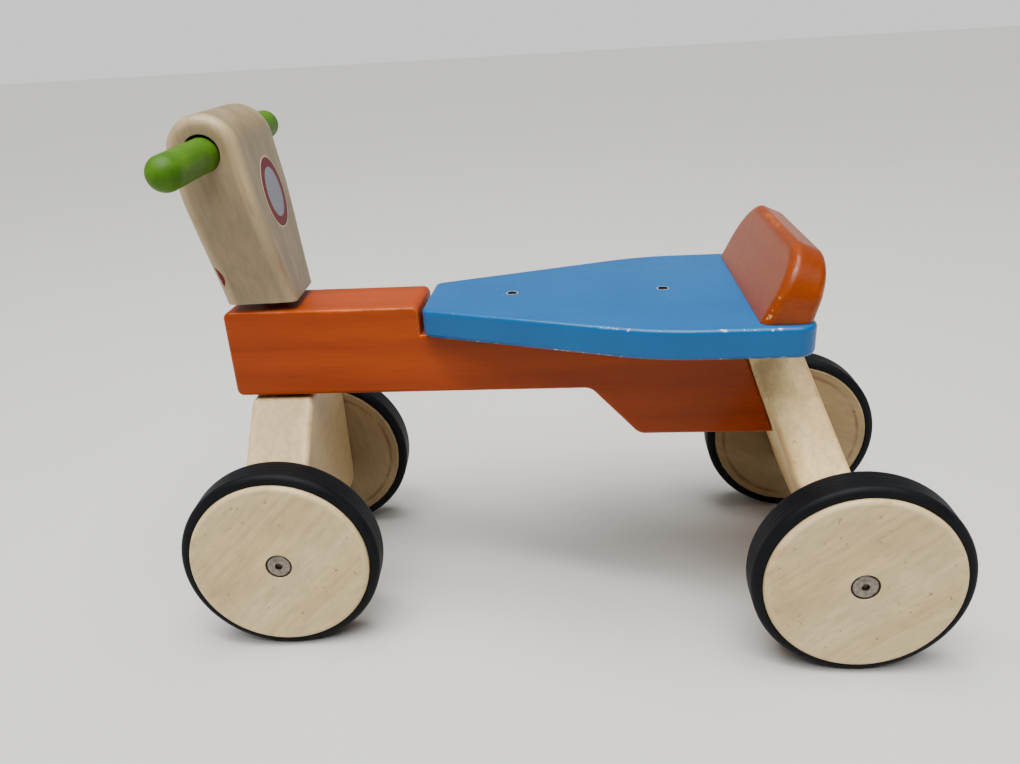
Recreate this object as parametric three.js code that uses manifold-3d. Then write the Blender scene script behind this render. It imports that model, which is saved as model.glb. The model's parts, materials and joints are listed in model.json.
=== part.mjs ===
// A child's wooden four-wheeled ride-on: beam chassis, flat seat with a low backrest, and a
// steering post that turns the front axle block. Millimetres, +X forward, +Y left, +Z up.
// The origin is on the ground, under the middle of the vehicle.
import * as THREE from "three";
import { mergeVertices } from "three/addons/utils/BufferGeometryUtils.js";
import Module from "manifold-3d";

const wasm = await Module();
wasm.setup();

// ---------- driving dimensions ----------
const fit_gap = 0.3; // between pieces that touch, are glued or turn on each other
const overshoot = 1; // a hole is cut this far past the surface it opens on
const weld_distance = 1e-3;
const steer_at_rest_deg = 4; // the steering is stored a little to the left

const wheelbase = 397;
const front_track = 163.6; // between the middles of the front tyres
const rear_track = 211.2;

const wheel_diameter = 140;
const tyre_width = 24.8;
const tyre_thickness = 6.8;
const tyre_edge_radius = 4.6;
const tyre_rib_width = 11;
const tyre_rib_height = 2.2; // sits in a groove round the disc
const disc_proud = 3.4; // the disc's outer face stands past the tyre
const disc_edge_radius = 3.2;
const disc_inner_chamfer = 1;

const axle_diameter = 10; // smooth shoulder that the wheel turns on
const axle_thread_diameter = 8;
const axle_thread_length = 30;
const axle_head_diameter = 16.5;
const axle_head_thickness = 2.4;
const axle_head_chamfer = 0.6;
const hex_socket = 5; // across flats
const hex_socket_depth = 1.8;
const running_gap = 0.3; // bush to axle, all round
const bush_wall = 2;
const washer_diameter = 24;
const washer_thickness = 1.2;
const insert_wall = 2.2;
const insert_length = 34;

const beam_over_wheels = 30; // beam underside above the tops of the wheels
const beam_height = 64;
const beam_width = 54;
const beam_front_overhang = 31; // ahead of the steering axis
const beam_drop = 36.5; // the deeper rear part hangs this far below the underside
const beam_drop_run = 34; // length of its sloping front
const beam_drop_length = 94; // level underside, up to the rear axle block
const beam_edge_radius = 2.5;
const beam_corner_radius = 5;

const seat_length = 252;
const seat_width = 180;
const seat_nose_width = 66;
const seat_thickness = 20;
const seat_taper_length = 156; // nose to where the straight sides reach full width
const seat_edge_radius = 3;
const seat_corner_radius = 14;
const seat_nose_radius = 7;
const seat_side_blend = 150; // radius between the tapering and the parallel sides
const seat_rear_overhang = 1.5; // behind the top of the rear axle block
const seat_nose_gap = 3.5;

const backrest_width = 169;
const backrest_height = 45;
const backrest_depth = 32; // at its foot
const backrest_front_lean_deg = 26.5;
const backrest_rear_lean_deg = 15.5;
const backrest_setback = 2.5; // from the seat's rear end
const backrest_rear_drop = 9; // the top falls this much towards the rear
const backrest_corner_radius = 32;
const backrest_edge_radius = 7;

const block_lean_deg = 20; // rear axle block, top towards the front
const rear_block_thickness = 35;
const front_block_length = 45;
const block_below_axle = 22;
const block_edge_radius = 4;
const block_corner_radius = 12;
const block_top_radius = 5;
const rear_shoulder_drop = 21; // shoulders start this far below the seat
const rear_shoulder_height = 45; // and end this far above the axle
const front_shoulder_height = 60;
const front_block_gap = 3; // front block to beam, filled by a washer

const post_gap = 6; // post to beam, filled by a spacer
const post_thickness = 48;
const post_foot_width = 52;
const post_head_width = 87;
const post_widening_height = 73; // the width grows up to here, above the foot
const post_lean_deg = 8.7;
const post_edge_radius = 7;
const post_forward = 2.5; // middle of its foot ahead of the spindle

const handlebar_height = 105.5; // above the post's foot
const handlebar_diameter = 21.8;
const handlebar_length = 232;
const handlebar_play = 1.2; // it lies loose in its hole, all round
const handlebar_tilt_deg = 1.2; // so that it hangs down a little on the left

const spindle_diameter = 10;
const spindle_head_diameter = 18;
const spindle_head_thickness = 4;
const spindle_head_depth = 1; // inside the front axle block
const spindle_hex_socket = 7; // across flats
const spindle_in_post = 44;
const spindle_bush_length = 22;
const spacer_diameter = 20;

const screw_diameter = 4;
const screw_head_diameter = 6.6;
const screw_head_thickness = 2.2;
const screw_recess = 1.6; // screw heads lie this far below the wood
const screw_cross_length = 4;
const screw_cross_width = 1;
const screw_cross_depth = 1;
const seat_screw_grip = 30; // thread in the beam
const seat_screw_spacing = 106;
const seat_front_screw_setback = 60; // behind the nose
const backrest_screw_grip = 20;
const backrest_screw_spacing = 100;
const backrest_screw_setback = 20; // behind the backrest's front foot

const dowel_diameter = 8;
const dowel_length = 36;
const dowel_spacing = 38; // along the slanted joint
const dowel_height_share = 0.5; // the pair is centred on the joint face

const wheel_segments = 32;
const small_segments = 16;
const corner_steps = 3; // round one corner of an outline
const fine_corner_steps = 4;
const head_steps = 9; // round the head of the post
const edge_steps = 2; // across a rounded edge
const fine_edge_steps = 3;
const dome_steps = 5; // from the side to the tip of the handlebar

// ---------- derived places ----------
const radians = THREE.MathUtils.degToRad;
const wheel_radius = wheel_diameter / 2;
const front_axle_x = wheelbase / 2;
const rear_axle_x = -wheelbase / 2;
const underside_z = wheel_diameter + beam_over_wheels;
const beam_top_z = underside_z + beam_height;
const seat_bottom_z = beam_top_z - seat_thickness;
const notch_floor_z = seat_bottom_z - fit_gap;
const low_underside_z = underside_z - beam_drop;
const lean = Math.tan(radians(block_lean_deg));
const plank_half_run = rear_block_thickness / 2 / Math.cos(radians(block_lean_deg));
const hub_gap = washer_thickness + 2 * fit_gap; // wheel to axle block
const front_block_half = front_track / 2 - tyre_width / 2 - hub_gap;
const rear_block_half = rear_track / 2 - tyre_width / 2 - hub_gap;
const plank_x = (z) => rear_axle_x + (z - wheel_radius) * lean;
const plank_front_x = (z) => plank_x(z) + plank_half_run;
const plank_rear_x = (z) => plank_x(z) - plank_half_run;
const seat_rear_x = plank_rear_x(notch_floor_z) - seat_rear_overhang;
const seat_nose_x = seat_rear_x + seat_length;
const notch_x = seat_nose_x + seat_nose_gap;
const backrest_rear_x = seat_rear_x + backrest_setback;
const backrest_front_x = backrest_rear_x + backrest_depth;
const backrest_foot_z = beam_top_z + fit_gap;
const post_foot_z = beam_top_z + post_gap;
const front_block_top_z = underside_z - front_block_gap;
const disc_radius = wheel_radius - tyre_thickness - fit_gap;
const disc_thickness = tyre_width + disc_proud;
const bush_outer_radius = axle_diameter / 2 + running_gap + bush_wall;
const head_recess = axle_head_thickness + 2 * fit_gap;
const insert_outer_radius = axle_thread_diameter / 2 + fit_gap + insert_wall;

// A wheel that is turned with the steering reaches further forward than one that is straight.
function turnedReach() {
  const turn = radians(steer_at_rest_deg);
  const tyre = (wheel_radius - tyre_edge_radius) * Math.cos(turn) + tyre_edge_radius;
  const side = front_track / 2 + tyre_width / 2 - tyre_edge_radius;
  return tyre + side * Math.sin(turn);
}
const box_middle_x = (turnedReach() - wheel_radius) / 2;

// ---------- materials ----------
function finish(color, roughness, metalness = 0) {
  return () => new THREE.MeshStandardMaterial({ color, roughness, metalness });
}
const pale_wood = finish(0xcdb894, 0.55);
const orange_paint = finish(0xb9501c, 0.35);
const blue_paint = finish(0x2b77b4, 0.35);
const green_paint = finish(0x6aa52a, 0.4);
const rubber = finish(0x22262b, 0.8);
const steel = finish(0x9a9994, 0.35, 1);
const nylon = finish(0xe4dfd2, 0.5);

// ---------- solids ----------
function toSolid(geometry) {
  const bare = geometry.index ? geometry.toNonIndexed() : geometry.clone();
  for (const name of Object.keys(bare.attributes)) {
    if (name !== "position") bare.deleteAttribute(name);
  }
  const merged = mergeVertices(bare, weld_distance);
  return new wasm.Manifold(
    new wasm.Mesh({
      numProp: 3,
      vertProperties: merged.attributes.position.array,
      triVerts: new Uint32Array(merged.index.array),
    }),
  );
}

function toGeometry(solid) {
  const mesh = solid.getMesh();
  const geometry = new THREE.BufferGeometry();
  geometry.setAttribute("position", new THREE.BufferAttribute(mesh.vertProperties, 3));
  geometry.setIndex(new THREE.BufferAttribute(mesh.triVerts, 1));
  geometry.computeVertexNormals();
  return geometry;
}

function cut(geometry, ...tools) {
  let solid = toSolid(geometry);
  for (const tool of tools) solid = solid.subtract(toSolid(tool));
  return toGeometry(solid);
}

function keepInside(geometry, tool) {
  return toGeometry(toSolid(geometry).intersect(toSolid(tool)));
}

// A closed outline from [x, y, radius] corners, each rounded by its own arc.
function roundedOutline(corners) {
  const shape = new THREE.Shape();
  corners.forEach(([x, y, radius], i) => {
    const here = new THREE.Vector2(x, y);
    const before = corners.at(i - 1);
    const after = corners[(i + 1) % corners.length];
    const back = new THREE.Vector2(before[0], before[1]).sub(here).normalize();
    const ahead = new THREE.Vector2(after[0], after[1]).sub(here).normalize();
    if (!radius) {
      if (i) shape.lineTo(x, y);
      else shape.moveTo(x, y);
      return;
    }
    const half = Math.acos(THREE.MathUtils.clamp(back.dot(ahead), -1, 1)) / 2;
    const start = here.clone().addScaledVector(back, radius / Math.tan(half));
    const end = here.clone().addScaledVector(ahead, radius / Math.tan(half));
    const inward = back.clone().add(ahead).normalize();
    const centre = here.clone().addScaledVector(inward, radius / Math.sin(half));
    const turn_right = back.cross(ahead) > 0;
    if (i) shape.lineTo(start.x, start.y);
    else shape.moveTo(start.x, start.y);
    shape.absarc(
      centre.x,
      centre.y,
      radius,
      Math.atan2(start.y - centre.y, start.x - centre.x),
      Math.atan2(end.y - centre.y, end.x - centre.x),
      turn_right,
    );
  });
  shape.closePath();
  return shape;
}

// An outline given thickness, its middle on z = 0, with rounded edges round both faces.
function board(outline, thickness, edge, curveSegments = corner_steps, bevelSegments = edge_steps) {
  const depth = thickness - 2 * edge;
  const geometry = new THREE.ExtrudeGeometry(outline, {
    depth,
    curveSegments,
    bevelEnabled: edge > 0,
    bevelThickness: edge,
    bevelSize: edge,
    bevelOffset: -edge,
    bevelSegments,
  });
  return geometry.translate(0, 0, -depth / 2);
}

// An XZ side view made into a board that is thick along Y.
function sideBoard(corners, thickness, edge, curveSegments, bevelSegments) {
  const outline = roundedOutline(corners);
  return board(outline, thickness, edge, curveSegments, bevelSegments).rotateX(Math.PI / 2);
}

// A YZ front view made into a board that is thick along X.
function frontBoard(corners, thickness, edge, curveSegments, bevelSegments) {
  const outline = roundedOutline(corners);
  return board(outline, thickness, edge, curveSegments, bevelSegments)
    .rotateX(Math.PI / 2)
    .rotateZ(Math.PI / 2);
}

// A bar on the Y axis between two y values.
function barY(radius, from, to, segments = small_segments) {
  const geometry = new THREE.CylinderGeometry(radius, radius, to - from, segments);
  return geometry.translate(0, (from + to) / 2, 0);
}

// A bar on the Z axis between two z values.
function barZ(radius, from, to, segments = small_segments) {
  const geometry = new THREE.CylinderGeometry(radius, radius, to - from, segments);
  return geometry.rotateX(Math.PI / 2).translate(0, 0, (from + to) / 2);
}

// A turned piece on the Y axis, from [radius, y] points in the order outside-up.
function turned(points, segments = small_segments) {
  const profile = points.map(([radius, y]) => new THREE.Vector2(radius, y));
  return new THREE.LatheGeometry(profile, segments);
}

function tube(outer, inner, from, to, segments = small_segments) {
  return turned(
    [
      [inner, from],
      [outer, from],
      [outer, to],
      [inner, to],
      [inner, from],
    ],
    segments,
  );
}

function arcPoints(centre_radius, centre_y, radius, from_deg, to_deg, steps) {
  return Array.from({ length: steps + 1 }, (_, i) => {
    const angle = radians(from_deg + ((to_deg - from_deg) * i) / steps);
    return [centre_radius + radius * Math.cos(angle), centre_y + radius * Math.sin(angle)];
  });
}

function piece(name, geometry, material) {
  const mesh = new THREE.Mesh(geometry, material());
  mesh.name = name;
  return mesh;
}

// ---------- wheels: local y = 0 at the inner face, +Y outwards ----------
function tyreGeometry() {
  const inner = wheel_radius - tyre_thickness;
  const side = (tyre_width - tyre_rib_width) / 2;
  const edge_middle = wheel_radius - tyre_edge_radius;
  return turned(
    [
      [inner, tyre_width],
      [inner, tyre_width - side],
      [inner - tyre_rib_height, tyre_width - side],
      [inner - tyre_rib_height, side],
      [inner, side],
      [inner, 0],
      ...arcPoints(edge_middle, tyre_edge_radius, tyre_edge_radius, -90, 0, edge_steps),
      ...arcPoints(edge_middle, tyre_width - tyre_edge_radius, tyre_edge_radius, 0, 90, edge_steps),
      [inner, tyre_width],
    ],
    wheel_segments,
  );
}

function discGeometry() {
  const bore = bush_outer_radius + fit_gap;
  const recess_radius = axle_head_diameter / 2 + 2 * fit_gap;
  const groove_side = (tyre_width - tyre_rib_width) / 2 - fit_gap;
  const groove_radius = disc_radius - tyre_rib_height;
  const edge_radius = disc_edge_radius;
  return turned(
    [
      [bore, 0],
      [disc_radius - disc_inner_chamfer, 0],
      [disc_radius, disc_inner_chamfer],
      [disc_radius, groove_side],
      [groove_radius, groove_side],
      [groove_radius, tyre_width - groove_side],
      [disc_radius, tyre_width - groove_side],
      ...arcPoints(disc_radius - edge_radius, disc_thickness - edge_radius, edge_radius, 0, 90, edge_steps),
      [recess_radius, disc_thickness],
      [recess_radius, disc_thickness - head_recess],
      [bore, disc_thickness - head_recess],
      [bore, 0],
    ],
    wheel_segments,
  );
}

function wheelBushGeometry() {
  const length = disc_thickness - head_recess - fit_gap;
  return tube(bush_outer_radius, axle_diameter / 2 + running_gap, 0, length);
}

// The bolt that the wheel turns on: flat head in the disc, thread in the axle block.
function axleBoltGeometry() {
  const head_top = disc_thickness - fit_gap;
  const head_bottom = head_top - axle_head_thickness;
  const shoulder_end = -hub_gap + fit_gap;
  const thread = axle_thread_diameter / 2;
  const bolt = turned([
    [0, shoulder_end - axle_thread_length],
    [thread, shoulder_end - axle_thread_length],
    [thread, shoulder_end],
    [axle_diameter / 2, shoulder_end],
    [axle_diameter / 2, head_bottom],
    [axle_head_diameter / 2, head_bottom],
    [axle_head_diameter / 2, head_top - axle_head_chamfer],
    [axle_head_diameter / 2 - axle_head_chamfer, head_top],
    [0, head_top],
  ]);
  const socket_radius = hex_socket / Math.sqrt(3);
  const socket_floor = head_top - hex_socket_depth;
  return cut(bolt, barY(socket_radius, socket_floor, head_top + overshoot, 6));
}

function axleWasherGeometry() {
  const inner = axle_diameter / 2 + running_gap;
  return tube(washer_diameter / 2, inner, -fit_gap - washer_thickness, -fit_gap);
}

function axleInsertGeometry() {
  const mouth = -hub_gap - fit_gap;
  const inner = axle_thread_diameter / 2 + fit_gap;
  return tube(insert_outer_radius, inner, mouth - insert_length, mouth);
}

// side is 1 on the left of the vehicle and -1 on the right.
function wheel(place, side, track, axle_x) {
  const group = new THREE.Group();
  group.position.set(axle_x, side * (track / 2 - tyre_width / 2), wheel_radius);
  group.rotation.z = side > 0 ? 0 : Math.PI;
  group.add(
    piece(place + "_tyre", tyreGeometry(), rubber),
    piece(place + "_wheel_disc", discGeometry(), pale_wood),
    piece(place + "_wheel_bush", wheelBushGeometry(), nylon),
    piece(place + "_axle_bolt", axleBoltGeometry(), steel),
    piece(place + "_axle_washer", axleWasherGeometry(), nylon),
    piece(place + "_axle_insert", axleInsertGeometry(), steel),
  );
  return group;
}

// The two blind holes that take the threaded inserts, along Y through an axle block.
function insertHoles(half_width) {
  const radius = insert_outer_radius + fit_gap;
  const depth = insert_length + 3 * fit_gap;
  return [-1, 1].map((side) => {
    const from = side > 0 ? half_width - depth : -half_width - overshoot;
    return barY(radius, from, from + depth + overshoot);
  });
}

// ---------- chassis ----------
function beamGeometry() {
  const end_gap = fit_gap / Math.cos(radians(block_lean_deg));
  const rear_x = (z) => plank_front_x(z) + end_gap;
  const front_x = front_axle_x + beam_front_overhang;
  const drop_rear_x = rear_x(low_underside_z);
  const drop_front_x = drop_rear_x + beam_drop_length;
  const side_view = [
    [front_x, underside_z, beam_corner_radius],
    [front_x, beam_top_z, beam_corner_radius],
    [notch_x, beam_top_z, beam_corner_radius],
    [notch_x, notch_floor_z, 0],
    [rear_x(notch_floor_z), notch_floor_z, 0],
    [drop_rear_x, low_underside_z, 0],
    [drop_front_x, low_underside_z, 2 * beam_corner_radius],
    [drop_front_x + beam_drop_run, underside_z, 2 * beam_corner_radius],
  ];
  const beam = sideBoard(side_view, beam_width, beam_edge_radius);
  const spindle_hole = barZ(
    spindleBushRadius() + fit_gap,
    underside_z - overshoot,
    beam_top_z + overshoot,
  );
  spindle_hole.translate(front_axle_x, 0, 0);
  return cut(beam, spindle_hole, ...seatScrewPlaces().map(seatScrewHole), ...dowelHoles());
}

function spindleBushRadius() {
  return spindle_diameter / 2 + running_gap + bush_wall;
}

function spindleBush(bottom_z) {
  const inner = spindle_diameter / 2 + running_gap;
  const bush = tube(spindleBushRadius(), inner, 0, spindle_bush_length);
  return bush.rotateX(Math.PI / 2).translate(front_axle_x, 0, bottom_z);
}

function seatOutline() {
  const nose = seat_nose_width / 2;
  const full = seat_width / 2;
  const shoulder_x = seat_nose_x - seat_taper_length;
  const left = [
    [seat_nose_x, nose, seat_nose_radius],
    [shoulder_x, full, seat_side_blend],
    [seat_rear_x, full, seat_corner_radius],
  ];
  const right = left.map(([x, y, radius]) => [x, -y, radius]).reverse();
  return roundedOutline([...left, ...right]);
}

function seatGeometry() {
  const slab = board(seatOutline(), seat_thickness, seat_edge_radius, fine_corner_steps);
  slab.translate(0, 0, seat_bottom_z + seat_thickness / 2);
  return cut(slab, ...seatScrewPlaces().map(seatScrewHole), ...backrestScrewHoles());
}

// Seat screws go down through the seat into the beam.
function seatScrewPlaces() {
  const front = seat_nose_x - seat_front_screw_setback;
  return [front, front - seat_screw_spacing];
}

function screwGeometry(length) {
  const screw = turned([
    [0, -length],
    [screw_diameter / 2, -length],
    [screw_diameter / 2, 0],
    [screw_head_diameter / 2, 0],
    [screw_head_diameter / 2, screw_head_thickness],
    [0, screw_head_thickness],
  ]);
  const cross = [0, 1].map((turn) =>
    new THREE.BoxGeometry(screw_cross_length, 2 * screw_cross_depth, screw_cross_width)
      .rotateY((turn * Math.PI) / 2)
      .translate(0, screw_head_thickness, 0),
  );
  return cut(screw, ...cross);
}

// A screw hole on the Y axis: recess above y = 0 for the head, clearance hole below.
function screwHole(length, recess) {
  const shank = barY(screw_diameter / 2 + fit_gap, -length - fit_gap, 0);
  const head = barY(screw_head_diameter / 2 + fit_gap, -fit_gap, recess);
  return toGeometry(toSolid(shank).add(toSolid(head)));
}

function seatScrewHeadZ() {
  return beam_top_z - screw_recess - screw_head_thickness;
}

function seatScrewLength() {
  return seatScrewHeadZ() - notch_floor_z + seat_screw_grip;
}

function seatScrewHole(x) {
  const hole = screwHole(seatScrewLength(), screw_recess + screw_head_thickness + overshoot);
  return hole.rotateX(Math.PI / 2).translate(x, 0, seatScrewHeadZ());
}

function seatScrew(x) {
  const screw = screwGeometry(seatScrewLength());
  return screw.rotateX(Math.PI / 2).translate(x, 0, seatScrewHeadZ());
}

// Backrest screws come up from under the seat.
function backrestScrewHeadZ() {
  return seat_bottom_z + screw_recess + screw_head_thickness;
}

function backrestScrewLength() {
  return beam_top_z - backrestScrewHeadZ() + backrest_screw_grip;
}

function placeBackrestScrew(geometry, side) {
  const x = backrest_front_x - backrest_screw_setback;
  const y = (side * backrest_screw_spacing) / 2;
  return geometry.rotateX(-Math.PI / 2).translate(x, y, backrestScrewHeadZ());
}

function backrestScrewHoles() {
  const recess = screw_recess + screw_head_thickness + overshoot;
  return [-1, 1].map((side) => placeBackrestScrew(screwHole(backrestScrewLength(), recess), side));
}

function backrestGeometry() {
  const half = backrest_width / 2;
  const below_foot = -2 * backrest_edge_radius; // the rounded lower edge is cut away
  const front_view = [
    [-half, below_foot, 0],
    [half, below_foot, 0],
    [half, backrest_height, backrest_corner_radius],
    [-half, backrest_height, backrest_corner_radius],
  ];
  const block = frontBoard(
    front_view,
    backrest_depth,
    backrest_edge_radius,
    fine_corner_steps,
    fine_edge_steps,
  );
  leanBackrest(block.attributes.position);
  const above_foot = new THREE.BoxGeometry(seat_length, seat_width, seat_length);
  above_foot.translate(backrest_rear_x, 0, seat_length / 2);
  const trimmed = keepInside(block, above_foot).translate(0, 0, backrest_foot_z);
  return cut(trimmed, ...backrestScrewHoles());
}

// Moves an upright block between the leaning front face and the steeper rear face.
function leanBackrest(position) {
  const front_lean = Math.tan(radians(backrest_front_lean_deg));
  const rear_lean = Math.tan(radians(backrest_rear_lean_deg));
  for (let i = 0; i < position.count; i++) {
    const share = position.getX(i) / backrest_depth + 0.5;
    const drop = (1 - share) * (backrest_rear_drop / backrest_height);
    const z = position.getZ(i) * (1 - drop);
    const front = backrest_front_x - z * front_lean;
    const rear = backrest_rear_x - z * rear_lean;
    position.setX(i, THREE.MathUtils.lerp(rear, front, share));
    position.setZ(i, z);
  }
}

// The front view of an axle block, in y and height: narrow on top, shoulders out to the axle.
// When the shoulders start at the very top there is no neck.
function blockView(half_width, top, shoulder_top, shoulder_bottom, bottom) {
  const neck = beam_width / 2;
  const right = [
    [half_width, bottom, block_corner_radius],
    [half_width, shoulder_bottom, block_corner_radius],
    [neck, shoulder_top, shoulder_top < top ? block_corner_radius : 0],
    [neck, top, block_top_radius],
  ].filter(([, height], i) => i < 3 || height > shoulder_top);
  const left = right.map(([y, height, radius]) => [-y, height, radius]).reverse();
  return [...right, ...left];
}

function rearBlockGeometry() {
  const along = 1 / Math.cos(radians(block_lean_deg)); // height to length up the leaning block
  const rise = (z) => (z - wheel_radius) * along;
  const view = blockView(
    rear_block_half,
    rise(notch_floor_z + rear_block_thickness),
    rise(seat_bottom_z - rear_shoulder_drop),
    rise(wheel_radius + rear_shoulder_height),
    -block_below_axle,
  );
  const plank = frontBoard(view, rear_block_thickness, block_edge_radius);
  plank.rotateY(radians(block_lean_deg)).translate(rear_axle_x, 0, wheel_radius);
  const below_seat = new THREE.BoxGeometry(wheelbase, rear_track, notch_floor_z);
  below_seat.translate(rear_axle_x, 0, notch_floor_z / 2);
  const holes = insertHoles(rear_block_half).map((hole) =>
    hole.translate(rear_axle_x, 0, wheel_radius),
  );
  return cut(keepInside(plank, below_seat), ...holes, ...dowelHoles());
}

// Dowels lie square to the slanted joint between the beam and the rear axle block.
function placeOnJoint(geometry, offset) {
  const middle_z = THREE.MathUtils.lerp(low_underside_z, notch_floor_z, dowel_height_share);
  const z = middle_z + offset * Math.cos(radians(block_lean_deg));
  geometry.rotateZ(-Math.PI / 2).rotateY(radians(block_lean_deg));
  return geometry.translate(plank_front_x(z), 0, z);
}

function dowelGeometry(offset) {
  const half = dowel_length / 2;
  return placeOnJoint(barY(dowel_diameter / 2, -half, half), offset);
}

function dowelHoles() {
  const half = dowel_length / 2 + fit_gap;
  return [-1, 1].map((side) => {
    const hole = barY(dowel_diameter / 2 + fit_gap, -half, half);
    return placeOnJoint(hole, (side * dowel_spacing) / 2);
  });
}

function chassis() {
  const group = new THREE.Group();
  const [front_screw_x, rear_screw_x] = seatScrewPlaces();
  const lower_bush_z = underside_z + fit_gap;
  const upper_bush_z = beam_top_z - fit_gap - spindle_bush_length;
  group.add(
    piece("main_beam", beamGeometry(), orange_paint),
    piece("seat_board", seatGeometry(), blue_paint),
    piece("backrest", backrestGeometry(), orange_paint),
    piece("rear_axle_block", rearBlockGeometry(), pale_wood),
    piece("seat_screw_front", seatScrew(front_screw_x), steel),
    piece("seat_screw_rear", seatScrew(rear_screw_x), steel),
    piece("steering_bush_lower", spindleBush(lower_bush_z), nylon),
    piece("steering_bush_upper", spindleBush(upper_bush_z), nylon),
    piece("rear_dowel_lower", dowelGeometry(-dowel_spacing / 2), pale_wood),
    piece("rear_dowel_upper", dowelGeometry(dowel_spacing / 2), pale_wood),
  );
  for (const [name, side] of [["left", 1], ["right", -1]]) {
    const screw = placeBackrestScrew(screwGeometry(backrestScrewLength()), side);
    group.add(piece("backrest_screw_" + name, screw, steel));
    group.add(wheel("rear_" + name, side, rear_track, rear_axle_x));
  }
  return group;
}

// ---------- steering: local x = 0 and y = 0 on the steering axis ----------
function postGeometry() {
  const lean_angle = radians(post_lean_deg);
  const half_run = post_thickness / 2 / Math.cos(lean_angle);
  const head_radius = post_thickness / 2;
  const below_foot = -2 * post_edge_radius; // the rounded lower edge is cut away
  const heights = [below_foot, 0, post_widening_height];
  const side_view = new THREE.Shape();
  side_view.moveTo(postX(below_foot) - half_run, below_foot);
  for (const z of heights) side_view.lineTo(postX(z) + half_run, z);
  const head_x = postX(handlebar_height);
  side_view.absarc(head_x, handlebar_height, head_radius, -lean_angle, Math.PI - lean_angle, false);
  for (const z of heights.slice(1).reverse()) side_view.lineTo(postX(z) - half_run, z);
  side_view.closePath();
  const blank = board(
    side_view,
    post_head_width,
    post_edge_radius,
    head_steps,
    fine_edge_steps,
  ).rotateX(Math.PI / 2);
  narrowPost(blank.attributes.position);
  const above_foot = new THREE.BoxGeometry(wheelbase, rear_track, wheelbase);
  const post = keepInside(blank, above_foot.translate(0, 0, wheelbase / 2));
  const hole_radius = handlebar_diameter / 2 + handlebar_play;
  const hole = barY(hole_radius, -post_head_width, post_head_width);
  hole.translate(head_x, 0, handlebar_height);
  const socket_depth = spindle_in_post + 3 * fit_gap;
  const socket = barZ(insertRadius() + fit_gap, -overshoot, socket_depth);
  return cut(post, hole, socket).translate(0, 0, post_foot_z);
}

// The middle of the leaning post at a height above its foot.
function postX(z) {
  return post_forward + z * Math.tan(radians(post_lean_deg));
}

// Narrows a post that is as wide as its head, from the head down to the foot.
function narrowPost(position) {
  for (let i = 0; i < position.count; i++) {
    const share = THREE.MathUtils.clamp(position.getZ(i) / post_widening_height, 0, 1);
    const width = THREE.MathUtils.lerp(post_foot_width, post_head_width, share);
    position.setY(i, (position.getY(i) * width) / post_head_width);
  }
}

function insertRadius() {
  return spindle_diameter / 2 + fit_gap + insert_wall;
}

function handlebarGeometry() {
  const radius = handlebar_diameter / 2;
  const straight = handlebar_length / 2 - radius;
  const bar = turned([
    ...arcPoints(0, -straight, radius, -90, 0, dome_steps),
    ...arcPoints(0, straight, radius, 0, 90, dome_steps),
  ]);
  bar.rotateX(-radians(handlebar_tilt_deg));
  return bar.translate(postX(handlebar_height), 0, post_foot_z + handlebar_height);
}

function frontBlockGeometry() {
  const view = blockView(
    front_block_half,
    front_block_top_z,
    front_block_top_z,
    wheel_radius + front_shoulder_height,
    wheel_radius - block_below_axle,
  );
  const block = frontBoard(view, front_block_length, block_edge_radius);
  const holes = insertHoles(front_block_half).map((hole) => hole.translate(0, 0, wheel_radius));
  const shaft = barZ(spindle_diameter / 2 + fit_gap, 0, underside_z);
  const head = barZ(spindle_head_diameter / 2 + 2 * fit_gap, 0, spindleHeadTop());
  return cut(block, ...holes, shaft, head);
}

function spindleHeadTop() {
  const block_bottom_z = wheel_radius - block_below_axle;
  return block_bottom_z + spindle_head_depth + spindle_head_thickness + fit_gap;
}

function spindleGeometry() {
  const top = post_foot_z + spindle_in_post;
  const head_top = spindleHeadTop() - fit_gap;
  const spindle = turned([
    [0, head_top - spindle_head_thickness],
    [spindle_head_diameter / 2, head_top - spindle_head_thickness],
    [spindle_head_diameter / 2, head_top],
    [spindle_diameter / 2, head_top],
    [spindle_diameter / 2, top],
    [0, top],
  ]).rotateX(Math.PI / 2);
  const socket_top = head_top - spindle_head_thickness + hex_socket_depth;
  return cut(spindle, barZ(spindle_hex_socket / Math.sqrt(3), 0, socket_top, 6));
}

function ringZ(outer, inner, bottom, top) {
  return tube(outer, inner, bottom, top).rotateX(Math.PI / 2);
}

function steering() {
  const group = new THREE.Group();
  group.position.x = front_axle_x;
  group.rotation.z = radians(steer_at_rest_deg);
  const over_spindle = spindle_diameter / 2 + fit_gap;
  const spacer = ringZ(
    spacer_diameter / 2,
    over_spindle,
    beam_top_z + fit_gap,
    post_foot_z - fit_gap,
  );
  const washer = ringZ(
    spacer_diameter / 2,
    over_spindle,
    front_block_top_z + fit_gap,
    underside_z - fit_gap,
  );
  const insert_bottom = post_foot_z + fit_gap;
  const insert = ringZ(insertRadius(), over_spindle, insert_bottom, post_foot_z + spindle_in_post);
  group.add(
    piece("steering_post", postGeometry(), pale_wood),
    piece("handlebar", handlebarGeometry(), green_paint),
    piece("front_axle_block", frontBlockGeometry(), pale_wood),
    piece("steering_spindle", spindleGeometry(), steel),
    piece("steering_spacer", spacer, nylon),
    piece("steering_washer", washer, nylon),
    piece("post_insert", insert, steel),
    wheel("front_left", 1, front_track, 0),
    wheel("front_right", -1, front_track, 0),
  );
  return group;
}

const ride_on = new THREE.Group();
ride_on.add(chassis(), steering());
ride_on.position.x = -box_middle_x;

export default ride_on;
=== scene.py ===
"""The looks of a wooden four-wheeled ride-on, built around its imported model.

Metres, +X forward, +Y to the rider's left, +Z up. Sizes written in millimetres are turned into
metres by mm().
"""

import json
import math

import bmesh
import bpy
import numpy as np
from mathutils import Matrix, Vector


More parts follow.
